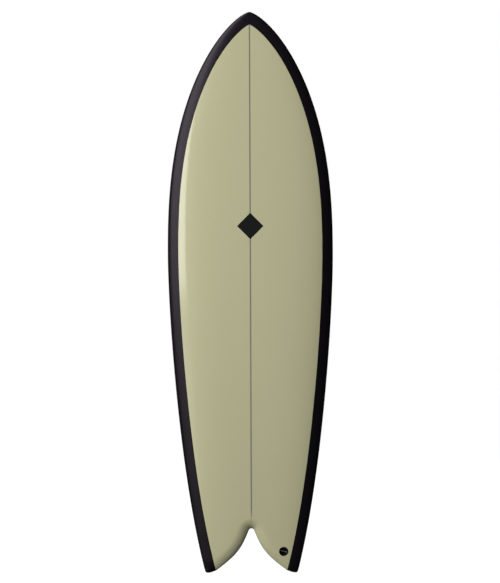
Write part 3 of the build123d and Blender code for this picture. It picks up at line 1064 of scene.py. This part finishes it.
@dataclass
class Skin:
    """The glass over the deck or the underside, between the two rail bands."""

    shape: BoardShape
    band: RailBand
    face: Face
    skin: float = 0.0012
    crease: float = 0.070  # how far above the notch the rows are close together
    flank_rows: int = 84
    apex_rows: int = 12
    crease_rows: int = 30
    body_rows: int = 180
    nose_rows: int = 34
    columns: int = 50
    holes: tuple[tuple[float, float, float], ...] = ()

    def rows(self, inner: Array) -> tuple[Array, Array]:
        """Where each row starts: up the notch's edge, then up the centre line.

        Args:
            inner: The band's inner line.

        Returns:
            The x and z of the starts.
        """
        tail = self.shape.tail
        flank = tail.flank(FINE)[::-1]
        flank = flank[flank[:, 0] <= self.band.meet[0]]
        apex = tail.apex(self.apex_rows)[::-1]
        end = float(inner[inner[:, 0] > 1e-6][-1, 1])
        crease = tail.depth + self.crease * np.linspace(0, 1, self.crease_rows) ** 1.5
        low = self.shape.nose_from
        body = np.linspace(crease[-1], low, self.body_rows)
        nose = low + (end - low) * slowing(self.nose_rows)
        up = np.concatenate([crease[1:], body[1:], nose[1:]])
        edge = resample(flank, np.linspace(0, 1, self.flank_rows))
        start = np.vstack([edge, apex[1:], np.column_stack([0 * up, up])])
        return start[:, 0], start[:, 1]

    def plan(self, face: Face) -> tuple[Array, Array]:
        """The x and z of every point of the right half."""
        inner = self.band.inner(face)
        first, z = self.rows(inner)
        last = np.maximum(np.interp(z, inner[:, 1], inner[:, 0]), 0.0)
        last = np.maximum(last, first)
        x = spread(first, last, self.columns)
        return x, np.broadcast_to(z[:, None], x.shape)

    def edge_rows(self) -> int:
        """How many rows start on the notch's edge."""
        return self.flank_rows + self.apex_rows - 1

    def build(self) -> bpy.types.Object:
        """Makes the skin of one face.

        Returns:
            The finished piece.
        """
        x, z = self.plan(self.face)
        y = self.shape.surface(self.face, x, z)
        other = Face(-self.face.value)
        rows = self.edge_rows()
        edge_x, edge_z = x[:rows, 0], z[:rows, 0]
        opposite = self.shape.surface(other, edge_x, edge_z)
        middle = (y[:rows, 0] + opposite) / 2
        share = np.linspace(0, 1, 5)[None, :]
        wall_y = y[:rows, :1] * (1 - share) + middle[:, None] * share
        weave = Weave()
        for side in Side:
            weave.grid(np.stack([x * side.value, y, z], axis=2))
            wall_x = np.broadcast_to(edge_x[:, None], wall_y.shape) * side.value
            wall_z = np.broadcast_to(edge_z[:, None], wall_y.shape)
            weave.grid(np.stack([wall_x, wall_y, wall_z], axis=2))
        deck = self.face is Face.DECK
        name = "deck_skin" if deck else "underside_skin"
        made = weave.shell(name, Vector((0, self.face.value, 0)))
        for hole_x, hole_z, radius in self.holes:
            punch(made, (hole_x, hole_z), radius,
                  lambda a, b: self.shape.surface(self.face, a, b))
        thicken(made, self.skin)
        node = "deck_laminate" if deck else "bottom_laminate"
        return dress(settle(made, 50), Finish.DECK if deck else Finish.UNDER, "root", node)


@dataclass
class FoamCore:
    """One half of the shaped foam, with pockets where the plugs sit."""

    shape: BoardShape
    side: Side
    pockets: tuple[tuple[Face, float, float, float, float], ...]
    under_skin: float = 0.0016
    from_rail: float = 0.0045
    from_notch: float = 0.0022
    stringer: float = 0.0018
    foot: float = 0.012
    head: float = 1.762
    crowd: float = 0.030  # how far above the notch the rows are close together
    columns: int = 46
    rows: int = 300

    def build(self) -> bpy.types.Object:
        """Makes the closed half.

        Returns:
            The finished piece.
        """
        tail = self.shape.tail
        edge = np.vstack([tail.apex(30), tail.flank(400)[1:]])
        z = np.concatenate([
            np.linspace(self.foot, tail.depth + self.crowd, 100),
            np.linspace(tail.depth + self.crowd, self.head, self.rows)[1:],
        ])
        gap = np.interp(z, edge[::-1, 1] + self.from_notch, edge[::-1, 0] + self.from_notch)
        first = np.where(z > tail.depth + self.from_notch, self.stringer, gap)
        first = np.maximum(first, self.stringer)
        last = np.maximum(self.shape.half_width(z) - self.from_rail, first + 0.0005)
        x = spread(first, last, self.columns)
        depth = np.broadcast_to(z[:, None], x.shape)
        sheets = {}
        for face in Face:
            y = self.shape.surface(face, x, depth, self.under_skin)
            for pocket_face, pocket_x, pocket_z, radius, deep in self.pockets:
                if pocket_face is face:
                    near = np.hypot(x - pocket_x, depth - pocket_z) < radius
                    y = np.where(near, y - face.value * deep, y)
            sheets[face] = y
        top, foot = sheets[Face.DECK], sheets[Face.UNDERSIDE]
        middle = (top + foot) / 2
        top, foot = np.minimum(top, middle - 1e-4), np.maximum(foot, middle + 1e-4)
        upper = np.stack([x * self.side.value, top, depth], axis=2)
        lower = np.stack([x * self.side.value, foot, depth], axis=2)
        weave = Weave()
        weave.grid(upper)
        weave.grid(lower)
        for a, b in ((upper[:, 0], lower[:, 0]), (upper[:, -1], lower[:, -1]),
                     (upper[0], lower[0]), (upper[-1], lower[-1])):
            weave.grid(np.stack([a, b], axis=1))
        name = self.side.name.lower()
        made = weave.shell(f"foam_half_{name}")
        return dress(settle(made), Finish.FOAM, "root", f"foam_core_{name}")


@dataclass
class Stringer:
    """The thin wooden spine between the foam halves."""

    shape: BoardShape
    thickness: float = 0.0034
    under_skin: float = 0.0014
    above_notch: float = 0.0022
    head: float = 1.760
    round_off: float = 0.0004
    rows: int = 160

    def build(self) -> bpy.types.Object:
        """Makes the spine, a strip that follows both faces of the board.

        Returns:
            The finished piece.
        """
        z = np.linspace(self.shape.tail.depth + self.above_notch, self.head, self.rows)
        deck = self.shape.surface(Face.DECK, 0 * z, z, self.under_skin)
        under = self.shape.surface(Face.UNDERSIDE, 0 * z, z, self.under_skin)
        half, round_off = self.thickness / 2, self.round_off
        ring = []
        for side, y, into in ((-1, deck, 1), (1, deck, 1), (1, under, -1), (-1, under, -1)):
            outer = np.column_stack([0 * z + side * half, y + into * round_off, z])
            inner = np.column_stack([0 * z + side * (half - round_off), y, z])
            ring += [outer, inner] if (side < 0) == (into > 0) else [inner, outer]
        weave = Weave()
        weave.tube(np.stack(ring, axis=1))
        return dress(settle(weave.shell("stringer_spine")), Finish.STRINGER, "root", "stringer")


@dataclass
class Emblem:
    """A plain lozenge under the deck's gloss."""

    shape: BoardShape
    height: float = 1.103
    size: float = 0.084
    proud: float = 0.00012
    thickness: float = 0.0003
    steps: int = 34

    def build(self) -> bpy.types.Object:
        """Makes the lozenge, laid on the deck's curve.

        Returns:
            The finished piece.
        """
        share = np.linspace(-0.5, 0.5, self.steps)
        a, b = np.meshgrid(share, share, indexing="ij")
        x = (a - b) * self.size / 2
        z = self.height + (a + b) * self.size / 2
        y = self.shape.surface(Face.DECK, x, z, -self.proud)
        weave = Weave()
        weave.grid(np.stack([x, y, z], axis=2))
        made = weave.shell("deck_lozenge", Vector((0, -1, 0)))
        thicken(made, self.thickness)
        return dress(settle(made, 50), Finish.PRINT, "root", "deck_emblem")


# ----------------------------------------------------------------------------- repeated parts


class Growth:
    """A Geometry Nodes tree with named inputs, grown onto one object at a time."""

    def __init__(self, name: str, inputs: dict[str, str]) -> None:
        """Makes an empty tree, with inputs for a place and a material besides its own.

        Args:
            name: The tree's name.
            inputs: Each of its own inputs' name and socket type.
        """
        inputs = {**inputs, "Seat": "NodeSocketVector", "Turn": "NodeSocketRotation",
                  "Finish": "NodeSocketMaterial"}
        self.tree = bpy.data.node_groups.new(name, "GeometryNodeTree")
        face = self.tree.interface
        self.keys = {
            title: face.new_socket(name=title, in_out="INPUT", socket_type=kind).identifier
            for title, kind in inputs.items()
        }
        face.new_socket(name="Geometry", in_out="OUTPUT", socket_type="NodeSocketGeometry")
        self.given = self.tree.nodes.new("NodeGroupInput")

    def add(self, kind: str, settings: Settings = None, inputs: Inputs = None
            ) -> bpy.types.NodeSocket:
        """Adds a node and returns its first output."""
        return add_node(self.tree, kind, settings, inputs).outputs[0]

    def asked(self, name: str) -> bpy.types.NodeSocket:
        """The socket of a named input."""
        return self.given.outputs[name]

    def sum(self, operation: str, a: Any, b: Any) -> bpy.types.NodeSocket:
        """One Math node."""
        return self.add("ShaderNodeMath", {"operation": operation}, {0: a, 1: b})

    def joined(self, *parts: bpy.types.NodeSocket) -> bpy.types.NodeSocket:
        """Several geometries as one."""
        node = self.tree.nodes.new("GeometryNodeJoinGeometry")
        for part in parts:
            self.tree.links.new(part, node.inputs[0])
        return node.outputs[0]

    def scaled(self, name: str, by: float) -> bpy.types.NodeSocket:
        """A named input times a number."""
        return self.sum("MULTIPLY", self.asked(name), by)

    def close(self, geometry: bpy.types.NodeSocket) -> None:
        """Ends the tree with plain geometry in its place and its material."""
        placed = self.add("GeometryNodeTransform", None, {
            "Geometry": geometry, "Translation": self.asked("Seat"),
            "Rotation": self.asked("Turn"),
        })
        real = self.add("GeometryNodeRealizeInstances", None, {0: placed})
        dressed = self.add(
            "GeometryNodeSetMaterial", None, {"Geometry": real, "Material": self.asked("Finish")}
        )
        self.tree.links.new(dressed, self.tree.nodes.new("NodeGroupOutput").inputs[0])

    def grow(self, name: str, seat: Matrix, finish: Finish, values: dict[str, Any]
             ) -> bpy.types.Object:
        """Makes one piece.

        Args:
            name: The piece's name.
            seat: Where it stands.
            finish: Its finish.
            values: What each of the tree's own inputs gets.

        Returns:
            The piece, as plain mesh.
        """
        values = {**values, "Seat": seat.to_translation(), "Turn": seat.to_euler(),
                  "Finish": finish.material()}
        made = add_object(name, bpy.data.meshes.new(name))
        modifier = made.modifiers.new("growth", "NODES")
        modifier.node_group = self.tree
        for title, value in values.items():
            modifier[self.keys[title]] = value
        return settle(made, 30)


class GrubScrewGrowth(Growth):
    """A grub screw with a hexagon socket, a rolled thread and a turned-down point."""

    def __init__(self) -> None:
        """Builds the tree."""
        sized = "NodeSocketFloat"
        super().__init__("grub_screw", {
            "Radius": sized, "Length": sized, "Point": sized, "Point Radius": sized,
            "Pitch": sized, "Flats": sized, "Socket": sized,
        })
        crest_height = 0.3  # of the pitch
        core = self.sum("SUBTRACT", self.asked("Radius"), self.scaled("Pitch", crest_height))
        shank_length = self.sum("SUBTRACT", self.asked("Length"), self.asked("Point"))
        shank = self.add("GeometryNodeMeshCylinder", None,
                         {"Vertices": 48, "Radius": core, "Depth": shank_length})
        shank = self.moved(shank, self.sum("MULTIPLY", shank_length, -0.5))
        point = self.add("GeometryNodeMeshCone", None, {
            "Vertices": 48, "Radius Top": core, "Radius Bottom": self.asked("Point Radius"),
            "Depth": self.asked("Point"),
        })
        point = self.moved(point, self.scaled("Length", -1.0))
        key = self.add("GeometryNodeMeshCylinder", None, {
            "Vertices": 6, "Radius": self.scaled("Flats", 1 / math.sqrt(3)),
            "Depth": self.scaled("Socket", 2.0),
        })
        hollow = self.tree.nodes.new("GeometryNodeMeshBoolean")
        hollow.operation = "DIFFERENCE"
        self.tree.links.new(shank, hollow.inputs["Mesh 1"])
        self.tree.links.new(key, hollow.inputs["Mesh 2"])
        turns = self.sum("DIVIDE", shank_length, self.asked("Pitch"))
        helix = self.add("GeometryNodeCurveSpiral", None, {
            "Resolution": 36, "Rotations": turns, "Start Radius": core, "End Radius": core,
            "Height": shank_length,
        })
        helix = self.moved(helix, self.sum("MULTIPLY", shank_length, -1.0))
        crest = self.add("GeometryNodeCurvePrimitiveCircle", None, {
            "Resolution": 4, "Radius": self.scaled("Pitch", crest_height),
        })
        thread = self.add("GeometryNodeCurveToMesh", None,
                          {"Curve": helix, "Profile Curve": crest, "Fill Caps": True})
        whole = self.joined(hollow.outputs[0], point, thread)
        self.close(whole)

    def moved(self, geometry: bpy.types.NodeSocket, height: bpy.types.NodeSocket
              ) -> bpy.types.NodeSocket:
        """Geometry moved along z."""
        way = self.add("ShaderNodeCombineXYZ", None, {2: height})
        return self.add("GeometryNodeTransform", None, {"Geometry": geometry, "Translation": way})


class RibRingGrowth(Growth):
    """Small upright ribs spaced evenly round a circle."""

    def __init__(self) -> None:
        """Builds the tree."""
        super().__init__("rib_ring", {
            "Count": "NodeSocketInt", "Radius": "NodeSocketFloat", "Rib": "NodeSocketVector",
        })
        circle = self.add("GeometryNodeCurvePrimitiveCircle", None,
                          {"Resolution": 96, "Radius": self.asked("Radius")})
        spread = add_node(self.tree, "GeometryNodeCurveToPoints", {"mode": "COUNT"},
                          {"Curve": circle, "Count": self.asked("Count")})
        rod = self.add("GeometryNodeMeshCylinder", None,
                       {"Vertices": 10, "Radius": 0.5, "Depth": 1.0})
        ribs = add_node(self.tree, "GeometryNodeInstanceOnPoints", None, {
            "Points": spread.outputs["Points"], "Instance": rod, "Scale": self.asked("Rib"),
        })
        self.close(ribs.outputs[0])


# ----------------------------------------------------------------------------- leash plug


@dataclass
class LeashPlug:
    """The round cup let into the deck, with a bar across it."""

    shape: BoardShape
    z: float = 0.068
    from_rail: float = 0.0612
    radius: float = 0.0148
    depth: float = 0.016
    cup_radius: float = 0.0106
    cup_depth: float = 0.0125
    bar_radius: float = 0.00175
    bar_depth: float = 0.0046
    bar_seat: float = 0.002
    bar_turn: float = 15.0
    proud: float = 0.0003
    ribs: int = 20
    rib: float = 0.0007
    flange: float = 0.006  # how deep the cup's top follows the deck's curve
    skin_hole: float = 0.0124  # radius of the deck skin's hole, hidden under the flange
    pocket: tuple[float, float] = (0.0160, 0.0170)  # the foam's pocket, radius and depth

    @property
    def x(self) -> float:
        """The plug's distance from the centre line."""
        return float(self.shape.half_width(np.array(self.z))) - self.from_rail

    def place(self, depth: float = 0.0) -> Matrix:
        """The plug's frame: z out of the deck, x along the bar."""
        y = float(self.shape.surface(Face.DECK, np.array(self.x), np.array(self.z)))
        turn = math.radians(self.bar_turn)
        along = Vector((math.cos(turn), 0, -math.sin(turn)))
        out = Vector((0, -1, 0))
        frame_rows = Matrix((along, out.cross(along), out)).transposed()
        return Matrix.Translation((self.x, y + depth, self.z)) @ frame_rows.to_4x4()

    def cup(self) -> bpy.types.Object:
        """Makes the cup, its flange drawn onto the deck's curve."""
        soft, lip, foot = 0.0007, 0.0009, 0.0015
        inner, outer = self.cup_radius, self.radius
        profile = [
            (AXIS, -self.cup_depth),
            *arc(inner - foot, -self.cup_depth + foot, foot, -90, 0, 15),
            *arc(inner + lip, self.proud - lip, lip, 180, 90, -15),
            *arc(outer - soft, self.proud - soft, soft, 90, 0, -15),
            (outer, -self.depth + soft), (outer - soft, -self.depth), (AXIS, -self.depth),
        ]
        points = turned(profile, 96, self.place())
        centre = self.shape.surface(Face.DECK, np.array(self.x), np.array(self.z))
        shift = self.shape.surface(Face.DECK, points[..., 0], points[..., 2]) - centre
        height = np.array([h for _, h in profile])
        weight = np.clip(1 + (height - self.proud) / self.flange, 0, 1)[:, None]
        points[..., 1] += shift * weight
        weave = Weave()
        weave.grid(points, around=True)
        made = settle(weave.shell("leash_cup"), 40)
        return dress(made, Finish.PLASTIC, "root", "leash_plug_cup")

    def bar(self) -> bpy.types.Object:
        """Makes the bar, with a shoulder where each end enters the cup's wall."""
        reach = self.cup_radius + self.bar_seat
        r = self.bar_radius
        half = [(AXIS, -reach), (r * 0.8, -reach), (r, -reach + 0.0003),
                (r, -self.cup_radius + 0.0016), (r * 0.93, -self.cup_radius + 0.0020),
                (r * 0.93, -self.cup_radius + 0.0030), (r * 0.9, 0.0)]
        profile = half + [(radius, -height) for radius, height in half[-2::-1]]
        axis = self.place(self.bar_depth) @ Matrix.Rotation(math.pi / 2, 4, "Y")
        weave = Weave()
        weave.grid(turned(profile, 40, axis), around=True)
        made = settle(weave.shell("leash_pin"), 40)
        # Its finish is steel darkened almost to black, which is painted shade for the inside of
        # the cup.
        return dress(made, Finish.BAR, "root", "leash_plug_bar")

    def rib_ring(self, growth: RibRingGrowth) -> bpy.types.Object:
        """Makes the moulded ribs inside the cup's wall."""
        made = growth.grow("leash_cup_ribs", self.place(self.cup_depth * 0.62), Finish.PLASTIC, {
            "Count": self.ribs, "Radius": self.cup_radius - 0.00005,
            "Rib": (self.rib, self.rib, self.cup_depth * 0.55),
        })
        return dress(made, Finish.PLASTIC, "root")


# ----------------------------------------------------------------------------- fins


@dataclass
class FinSet:
    """One side's keel fin, its two plugs and their grub screws."""

    shape: BoardShape
    side: Side
    z: float = 0.214
    from_rail: float = 0.0489
    toe: float = 2.4
    cant: float = 6.0
    base: float = 0.152
    depth: float = 0.132
    outer: float = 0.0056
    inner: float = 0.0026
    edge: float = 0.0006
    gap: float = 0.0003
    tab_spacing: float = 0.072
    tab: tuple[float, float, float] = (0.020, 0.0062, 0.014)
    tab_root: float = 0.0012
    tab_corner: float = 0.0012
    slot_gap: float = 0.00015
    plug_radius: float = 0.013
    plug_depth: float = 0.0175
    screw_side: float = 0.0092
    screw_tilt: float = 35.0
    screw_radius: float = 0.0025
    screw_sink: float = 0.0012
    screw_length: float = 0.00608
    rings: int = 44
    follows: float = 0.020  # how far up the blade bends with the underside
    face: float = 0.004  # how deep a plug's top follows the underside
    skin_hole: float = 0.0122  # radius of the skin's hole over a plug
    pocket: tuple[float, float] = (0.0155, 0.0185)  # the foam's pocket, radius and depth
    plan: tuple[tuple[float, float, float, float], ...] = (
        (0.00, 0.500, -0.500, 1.00), (0.20, 0.420, -0.462, 0.93), (0.40, 0.315, -0.452, 0.84),
        (0.60, 0.180, -0.468, 0.72), (0.78, 0.020, -0.510, 0.58), (0.91, -0.170, -0.565, 0.44),
        (0.98, -0.350, -0.600, 0.30), (1.00, -0.450, -0.605, 0.22),
    )

    @property
    def x(self) -> float:
        """The base's distance from the centre line."""
        return float(self.shape.half_width(np.array(self.z))) - self.from_rail

    def under(self, x: float, z: float) -> float:
        """The underside's y."""
        return float(self.shape.surface(Face.UNDERSIDE, np.array(x), np.array(z)))

    def place(self) -> Matrix:
        """The fin's frame: x along its base to the nose, z out of the board."""
        rise, side = 0.001, self.side.value
        slope = math.atan2(
            self.under(self.x, self.z + rise) - self.under(self.x, self.z - rise), 2 * rise
        )
        cant, toe = math.radians(self.cant), math.radians(self.toe)
        along = Vector(
            (-side * math.sin(toe), math.sin(slope), math.cos(toe) * math.cos(slope))
        ).normalized()
        out = Vector((side * math.sin(cant), math.cos(cant), 0))
        out = (out - along * out.dot(along)).normalized()
        turn = Matrix((along, out.cross(along), out)).transposed().to_4x4()
        return Matrix.Translation((side * self.x, self.under(self.x, self.z), self.z)) @ turn

    def outboard(self) -> int:
        """The sign of the frame's y that faces the rail."""
        return 1 if self.place().col[1].x * self.side.value > 0 else -1

    def lie(self, place: Matrix, x: float, y: float) -> float:
        """How far along the frame's z the underside lies at x, y."""
        t = 0.0
        for _ in range(4):
            spot = place @ Vector((x, y, t))
            t += (self.under(spot.x, spot.z) - spot.y) / place.col[2].y
        return t

    def ends(self) -> tuple[tuple[str, float], ...]:
        """The two plugs' names and places along the base."""
        return (("front", self.tab_spacing / 2), ("rear", -self.tab_spacing / 2))

    def blade_rows(self) -> Array:
        """Heights, leading edge, trailing edge and thickness, close together at the tip."""
        table = np.array(self.plan)
        heights = slowing(self.rings)
        fine = clamped_spline(table, np.array([0.9, -0.37, 0.1, -0.3]),
                              np.array([0.1, -0.95, -0.05, -0.3]), 600)
        return np.column_stack([heights] + [
            np.interp(heights, fine[:, 0], fine[:, k]) for k in (1, 2, 3)
        ])

    def blade(self, place: Matrix) -> Array:
        """Rings of the blade, from its base to its tip."""
        half = 26
        k = np.arange(-half, half + 1)
        share = (1 - np.cos(math.pi * np.abs(k) / half)) / 2
        swell = 2.6 * (np.sqrt(share) - share) * (1 - 0.25 * share)
        amount = np.where(k > 0, self.outer, self.inner)
        way = np.where(k > 0, 1, -1) * self.outboard()
        rings = []
        for height, lead, trail, bulge in self.blade_rows():
            y = way * (bulge * amount * swell + self.edge / 2 * share)
            x = lead * self.base - (lead - trail) * self.base * share
            ring = []
            for a, b in zip(x, y):
                h = height * self.depth
                if h < self.follows:
                    h += (self.lie(place, a, b) + self.gap) * (1 - h / self.follows)
                ring.append(tuple(place @ Vector((a, b, h))))
            rings.append(ring)
        return np.array(rings)

    def fin(self) -> bpy.types.Object:
        """Makes the blade and its two tabs."""
        place, weave = self.place(), Weave()
        weave.tube(self.blade(place))
        length, width, depth = self.tab
        for _, along in self.ends():
            tall = depth + self.tab_root
            size = Vector((length, width, tall))
            middle = Vector((along, 0, self.tab_root - tall / 2))
            weave.tube(rounded_block(size, middle, self.tab_corner, place))
        name = self.side.name.lower()
        made = settle(weave.shell(f"keel_fin_{name}"), 32)
        return dress(made, Finish.FIN, f"fin_{name}_body", f"fin_{name}")

    def screw_place(self, place: Matrix, along: float) -> Matrix:
        """A grub screw's frame: z is its axis, out of the board."""
        inboard = -self.outboard()
        tilt = Matrix.Rotation(math.radians(-inboard * self.screw_tilt), 4, "X")
        return place @ Matrix.Translation((along, inboard * self.screw_side, 0)) @ tilt

    def barrel(self) -> list[tuple[float, float]]:
        """The profile of a plug: a flat foot, four grooves and a face with a rounded rim."""
        soft, r, proud = 0.0005, self.plug_radius + 0.0002, 0.00012
        profile = [(AXIS, -self.plug_depth), (r - 0.001, -self.plug_depth),
                   (r - 0.0005, -self.plug_depth + 0.0006)]
        for groove in range(4):
            top = -self.plug_depth + 0.003 + 0.003 * groove
            profile += [(r - 0.0005, top - 0.0009), (r - 0.0012, top - 0.0005),
                        (r - 0.0012, top + 0.0005), (r - 0.0005, top + 0.0009)]
        profile.append((r, -0.0022))
        profile += arc(r - soft, proud - soft, soft, 0, 90, 18)
        profile += [(share * (r - soft), proud) for share in (0.85, 0.7, 0.55, 0.4, 0.25, 0.1)]
        return [*profile, (AXIS, proud)]

    def cutters(self) -> list[bpy.types.Object]:
        """What is cut out of a plug: the tab's slot and the screw's bore."""
        above, still = 0.02, Matrix.Identity(4)
        length, width, depth = self.tab
        gap = 2 * self.slot_gap
        tall = depth + 0.001 + above
        slot = Weave()
        slot.tube(rounded_block(Vector((length + gap, width + gap, tall)),
                                Vector((0, 0, above - tall / 2)), self.tab_corner, still))
        reach = self.screw_side / math.sin(math.radians(self.screw_tilt))
        r = self.screw_radius + 0.00005
        profile = [(AXIS, above), (r, above), (r, -reach), (AXIS, -reach)]
        bore = Weave()
        bore.grid(turned(profile, 40, self.screw_place(still, 0.0)), around=True)
        return [slot.shell("slot_cutter"), bore.shell("screw_cutter")]

    def plug(self, end: str, along: float) -> bpy.types.Object:
        """Makes one plug: a ribbed barrel whose face follows the underside, with its slot."""
        place = self.place()
        local = place @ Matrix.Translation((along, 0, 0))
        weave = Weave()
        weave.grid(turned(self.barrel(), 96, Matrix.Identity(4)), around=True)
        name = f"{end}_{self.side.name.lower()}"
        made = weave.shell(f"fin_seat_{name}")
        cutters = self.cutters()
        for cutter in cutters:
            cut = made.modifiers.new(cutter.name, "BOOLEAN")
            cut.operation, cut.solver, cut.object = "DIFFERENCE", "EXACT", cutter
        settle(made, 35)
        for cutter in cutters:
            bpy.data.objects.remove(cutter)
        for vertex in made.data.vertices:
            x, y, h = vertex.co
            if h > -self.face:
                h += self.lie(place, along + x, y) * (1 + min(h, 0.0) / self.face)
            vertex.co = local @ Vector((x, y, h))
        return dress(made, Finish.PLASTIC, "root", f"fin_plug_{name}")

    def screw(self, end: str, along: float, growth: GrubScrewGrowth) -> bpy.types.Object:
        """Makes one grub screw."""
        seat = self.screw_place(self.place(), along)
        seat = seat @ Matrix.Translation((0, 0, -self.screw_sink))
        name = f"{end}_{self.side.name.lower()}"
        made = growth.grow(f"grub_screw_{name}", seat, Finish.SCREW, {
            "Radius": self.screw_radius, "Length": self.screw_length, "Point": 0.0014,
            "Point Radius": 0.0013, "Pitch": 0.0007, "Flats": 0.0025, "Socket": 0.0026,
        })
        return dress(made, Finish.SCREW, f"fin_screw_{name}_body", f"fin_screw_{name}")

    def build(self, growth: GrubScrewGrowth) -> list[bpy.types.Object]:
        """Makes the whole set."""
        made = [self.fin()]
        for end, along in self.ends():
            made += [self.plug(end, along), self.screw(end, along, growth)]
        return made


# ----------------------------------------------------------------------------- studio


@dataclass
class Studio:
    """Plain pale floor, soft lights and the camera."""

    distance: float = 8.0
    eye: float = 0.895
    aside: float = -0.0016
    roll: float = -0.23
    view: float = 13.23
    light: tuple[float, float, float] = (1.0, 0.99, 0.97)

    def camera(self) -> None:
        """Sets the camera square to the deck."""
        lens = bpy.data.cameras.new("camera")
        lens.angle = math.radians(self.view)
        lens.clip_end = 60.0
        eye = add_object("camera", lens)
        turn = Euler((math.pi / 2, 0, 0)).to_matrix() @ Matrix.Rotation(
            math.radians(self.roll), 3, "Z"
        )
        at = Matrix.Translation((self.aside, -self.distance, self.eye))
        eye.matrix_world = at @ turn.to_4x4()
        bpy.context.scene.camera = eye

    def panel(self, name: str, at: Vector, aim: Vector, size: tuple[float, float],
              power: float) -> None:
        """Adds a soft panel light.

        Args:
            name: Its name.
            at: Its middle.
            aim: What it faces.
            size: Its width and height.
            power: Watts.
        """
        lamp = bpy.data.lights.new(name, "AREA")
        lamp.shape = "RECTANGLE"
        lamp.size, lamp.size_y = size
        lamp.energy, lamp.color = power, self.light
        made = add_object(name, lamp)
        made.location = at
        made.rotation_euler = (aim - at).to_track_quat("-Z", "Y").to_euler()

    def lights(self) -> None:
        """Adds the lights: a bright and a weak panel on the left, a far one and one behind."""
        for name, at, aim, size, power in (
            ("left_upper", (-2.7, -2.6, 1.78), 1.70, (3.2, 2.1), 116.0),
            ("left_lower", (-2.7, -2.6, 0.0), 0.0, (3.2, 1.0), 6.0),
            ("high_front", (-4.6, -8.4, 5.2), 0.6, (4.5, 2.4), 470.0),
            ("back_fill", (0.6, 4.2, 2.8), 0.9, (2.4, 2.4), 150.0),
        ):
            self.panel(name, Vector(at), Vector((0, 0, aim)), size, power)

    def world(self) -> None:
        """White behind the board, dim grey for its light and reflections."""
        world = bpy.data.worlds.new("studio")
        world.use_nodes = True
        tree = world.node_tree
        tree.nodes.clear()
        seen = add_node(tree, "ShaderNodeLightPath").outputs["Is Camera Ray"]
        dim = add_node(tree, "ShaderNodeBackground", None,
                       {"Color": (0.9, 0.93, 1.0, 1.0), "Strength": 0.055})
        white = add_node(tree, "ShaderNodeBackground", None,
                         {"Color": (1.0, 1.0, 1.0, 1.0), "Strength": 1.0})
        both = add_node(tree, "ShaderNodeMixShader", None,
                        {0: seen, 1: dim.outputs[0], 2: white.outputs[0]})
        add_node(tree, "ShaderNodeOutputWorld", None, {"Surface": both.outputs[0]})
        bpy.context.scene.world = world

    def floor(self) -> None:
        """Lays a pale floor under the tail tips."""
        half, low = 14.0, CAD_BOX[0].z - 0.0004
        mesh = bpy.data.meshes.new("floor")
        corners = [(-half, -half), (half, -half), (half, half), (-half, half)]
        mesh.from_pydata([(x, y, low) for x, y in corners], [], [(0, 1, 2, 3)])
        made = add_object("floor", mesh)
        r = Recipe("pale_floor")
        point = r.point()
        mark = r.noise(point, 3.0, 3.0)
        glow = r.blend(mark, (0.985, 0.985, 0.985, 1.0), (1.0, 1.0, 1.0, 1.0))
        mesh.materials.append(r.surface({
            "Base Color": (0.10, 0.10, 0.10, 1.0), "Roughness": 0.9,
            "Specular IOR Level": 0.0,
            "Emission Color": glow, "Emission Strength": 1.0,
        }))
        made.visible_diffuse = False
        made.visible_glossy = False

    def look(self) -> None:
        """Sets plain colour handling."""
        settings = bpy.context.scene.view_settings
        settings.view_transform = "Standard"
        settings.look = "None"
        settings.exposure, settings.gamma = 0.0, 1.0

    def build(self) -> None:
        """Sets up the whole studio."""
        self.camera()
        self.lights()
        self.world()
        self.floor()
        self.look()


def main() -> None:
    """Builds the board piece by piece, then the studio."""
    logging.basicConfig(level=logging.INFO, format="%(message)s")
    shape = BoardShape()
    leash = LeashPlug(shape)
    fins = [FinSet(shape, side) for side in Side]
    bands = [RailBand(shape, side) for side in Side]
    for band in bands:
        band.build()
    Skin(shape, bands[0], Face.DECK, holes=((leash.x, leash.z, leash.skin_hole),)).build()
    seats, pockets = [], []
    for fin in fins:
        for _, along in fin.ends():
            spot = fin.place() @ Vector((along, 0, 0))
            seats.append((spot.x, spot.z, fin.skin_hole))
            if fin.side is Side.RIGHT:
                pockets.append((Face.UNDERSIDE, spot.x, spot.z, *fin.pocket))
    Skin(shape, bands[0], Face.UNDERSIDE, holes=tuple(seats)).build()
    cup = (Face.DECK, leash.x, leash.z, *leash.pocket)
    FoamCore(shape, Side.LEFT, tuple(pockets)).build()
    FoamCore(shape, Side.RIGHT, (*pockets, cup)).build()
    Stringer(shape).build()
    Emblem(shape).build()
    leash.cup()
    leash.bar()
    leash.rib_ring(RibRingGrowth())
    screws = GrubScrewGrowth()
    for fin in fins:
        fin.build(screws)
    Studio().build()


if __name__ == "__main__":
    main()
